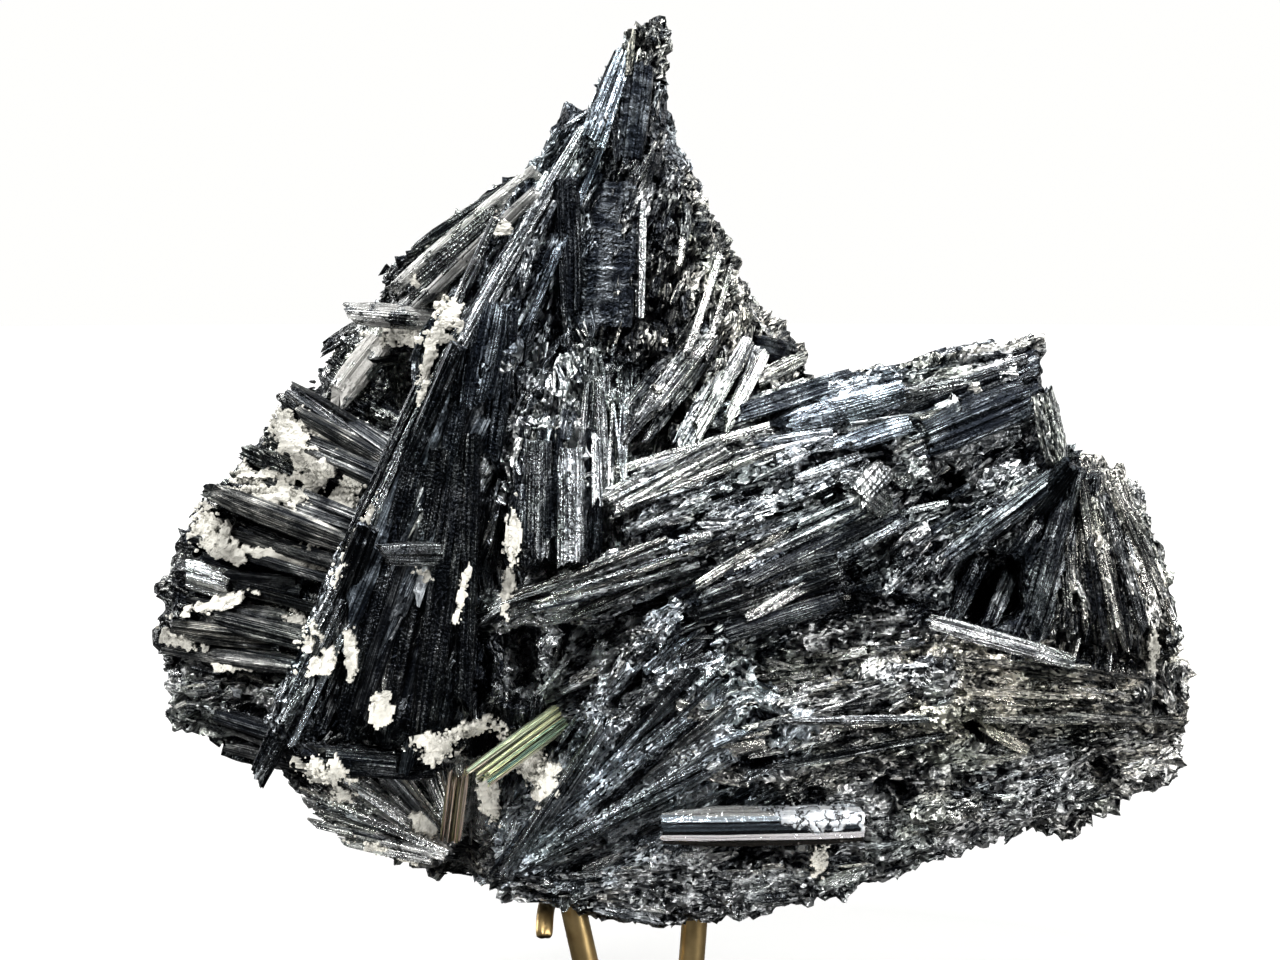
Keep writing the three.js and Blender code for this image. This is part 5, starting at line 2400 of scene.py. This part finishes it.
@dataclass(frozen=True)
class Stand:
    """The turned foot and its three bent rods, rounder than the modelled ones.

    Attributes:
        rods: The frame's nodes of the rods.
        swell: What rounding takes off a rod's radius, given back, mm.
        turns: Points round the foot.
    """

    rods: tuple[str, ...] = ("stand_post_left", "stand_post_right", "stand_back_arm")
    swell: float = 0.09
    turns: int = 160

    def rod(self, node: str) -> Piece:
        """Rounds one rod of the frame.

        Args:
            node: The modelled rod.

        Returns:
            The new object.
        """
        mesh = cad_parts[node].data.copy()
        shape = bmesh.new()
        shape.from_mesh(mesh)
        bmesh.ops.remove_doubles(shape, verts=shape.verts, dist=1e-6)
        angles = {"angle_face_threshold": 0.8, "angle_shape_threshold": 0.8}
        bmesh.ops.join_triangles(shape, faces=shape.faces, **angles)
        shape.to_mesh(mesh)
        shape.free()
        rod = add_object(node + "_round", mesh)
        rounder = rod.modifiers.new("rounder", "SUBSURF")
        rounder.levels = rounder.render_levels = 2
        fuller = rod.modifiers.new("fuller", "DISPLACE")
        fuller.strength = self.swell * MM
        fuller.mid_level = 0.0
        mesh.materials.clear()
        mesh.materials.append(BrassFinish().material())
        mesh.shade_smooth()
        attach(rod, "root")
        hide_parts(node)
        return rod

    def foot(self) -> Piece:
        """Turns the foot: a low disc with a rounded rim and a coved upper edge.

        Its profile goes up the rim, round it and in over the cove to the flat top, as distances
        from the axis and heights, mm.

        Returns:
            The new object.
        """
        low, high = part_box("stand_foot")
        radius, height = (high.x - low.x) / 2 / MM, high.z / MM
        arc = np.linspace(-np.pi / 2, np.pi / 2, 9)
        rim = np.stack([radius - 1 + np.cos(arc), 1.2 + np.sin(arc) * 1.15], 1)
        t = np.linspace(0, 1, 12)
        climb = (height - 2.9) * (1 - np.cos(t * np.pi)) / 2
        cove = np.stack([radius - 2.2 - 7 * t, 2.6 + climb], 1)
        edge, flat, middle = radius - 9.8, radius - 10.4, radius * 0.4
        top = np.array([[edge, height - 0.1], [flat, height], [middle, height]])
        profile = np.concatenate([[[radius - 1.6, 0.0]], rim, cove, top])
        turns = self.turns
        angle = np.arange(turns) * 2 * np.pi / turns
        rings = np.stack(
            [
                profile[:, :1] * np.cos(angle),
                profile[:, :1] * np.sin(angle),
                np.broadcast_to(profile[:, 1:], (len(profile), turns)),
            ],
            -1,
        )
        count = len(profile)
        j, i = np.meshgrid(np.arange(count - 1) * turns, np.arange(turns), indexing="ij")
        i2 = (i + 1) % turns
        quads = np.stack([j + i, j + i2, j + turns + i2, j + turns + i], -1)
        ring = np.arange(turns)
        below, above = count * turns, count * turns + 1
        last = (count - 1) * turns
        tris = np.concatenate(
            [
                np.stack([np.full(turns, below), (ring + 1) % turns, ring], -1),
                np.stack([np.full(turns, above), last + ring, last + (ring + 1) % turns], -1),
            ]
        )
        points = np.concatenate([rings.reshape(-1, 3), [[0, 0, 0], [0, 0, height]]])
        foot = mesh_object("foot_turned", points - (0, 0, LIFT), [quads.reshape(-1, 4), tris])
        foot.data.materials.append(BrassFinish().material())
        foot.data.shade_smooth()
        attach(foot, "root")
        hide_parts("stand_foot")
        foot.visible_glossy = False
        return foot

    def build(self) -> None:
        """Makes the whole stand."""
        for node in self.rods:
            self.rod(node)
        self.foot()


# ---------------- assembly


def main() -> None:
    """Builds the scene, piece by piece."""
    logging.basicConfig(level=logging.INFO, format="%(name)s %(message)s")
    rng = np.random.default_rng(SEED)
    Studio().build()
    grain = GrainField(SPRAYS)
    body = CrystalBody()
    made = body.build(grain)
    body.dress(made, BODY_FACES)
    skin = body.skin
    log.info("%s: %d faces", made.name, len(made.data.polygons))
    groups = [
        (Fans("peak", PEAK_SPRAYS), LATH_FACES),
        (Fans("west", WEST_SPRAYS), MATT_FACES),
        (Fans("needle", NEEDLE_SPRAYS), NEEDLE_FACES),
        (Fans("lobe", LOBE_SPRAYS), LATH_FACES),
        (Fans("low", FOOT_SPRAYS), LATH_FACES),
        (Fans("rear", BACK_SPRAYS, back=True, slack=15.0), LATH_FACES),
    ]
    for group, finish in groups:
        for piece in group.build(skin, rng):
            dress_laths(piece, finish)
    thatches = [
        Thatch("thatch_coarse", 700, (1.0, 2.6), (3, 9), MEDIUM, 0.4, 1.0),
        Thatch("thatch_middle", 2500, (0.6, 1.5), (2, 5), FINE, 0.4, 0.6),
        Thatch("thatch_fine", 5000, (0.3, 0.9), (0.8, 2.4), FINE, 0.4, 0.3),
    ]
    for thatch in thatches:
        dress_laths(thatch.build(skin, grain, rng), LATH_FACES)
    picked = [
        (FeatureBlades("feature_blades", FEATURES), LATH_FACES),
        (FeatureBlades("smooth_faces", SMOOTH_FACES, rise=-0.1), SLAB_FACES),
        (FeatureBlades("proud_blades", PROUD_BLADES, rise=0.8), NEEDLE_FACES),
    ]
    for blades, finish in picked:
        dress_laths(blades.build(skin, rng), finish)
    log.info("%d crystals placed one by one", len(FEATURES + SMOOTH_FACES + PROUD_BLADES))
    for crystal in FREE_CRYSTALS:
        crystal.dress(crystal.build(rng), LATH_FACES)
    for crystal, tarnish in TARNISHED_CRYSTALS:
        crystal.dress(crystal.build(rng), tarnish)
    POCKET_PRISM.dress(POCKET_PRISM.build(rng), MirrorFinish())
    crust = Crust()
    crust.dress(crust.build(skin))
    druse = Druse()
    druse.dress(druse.build(skin, rng))
    Stand().build()


if __name__ == "__main__":
    main()
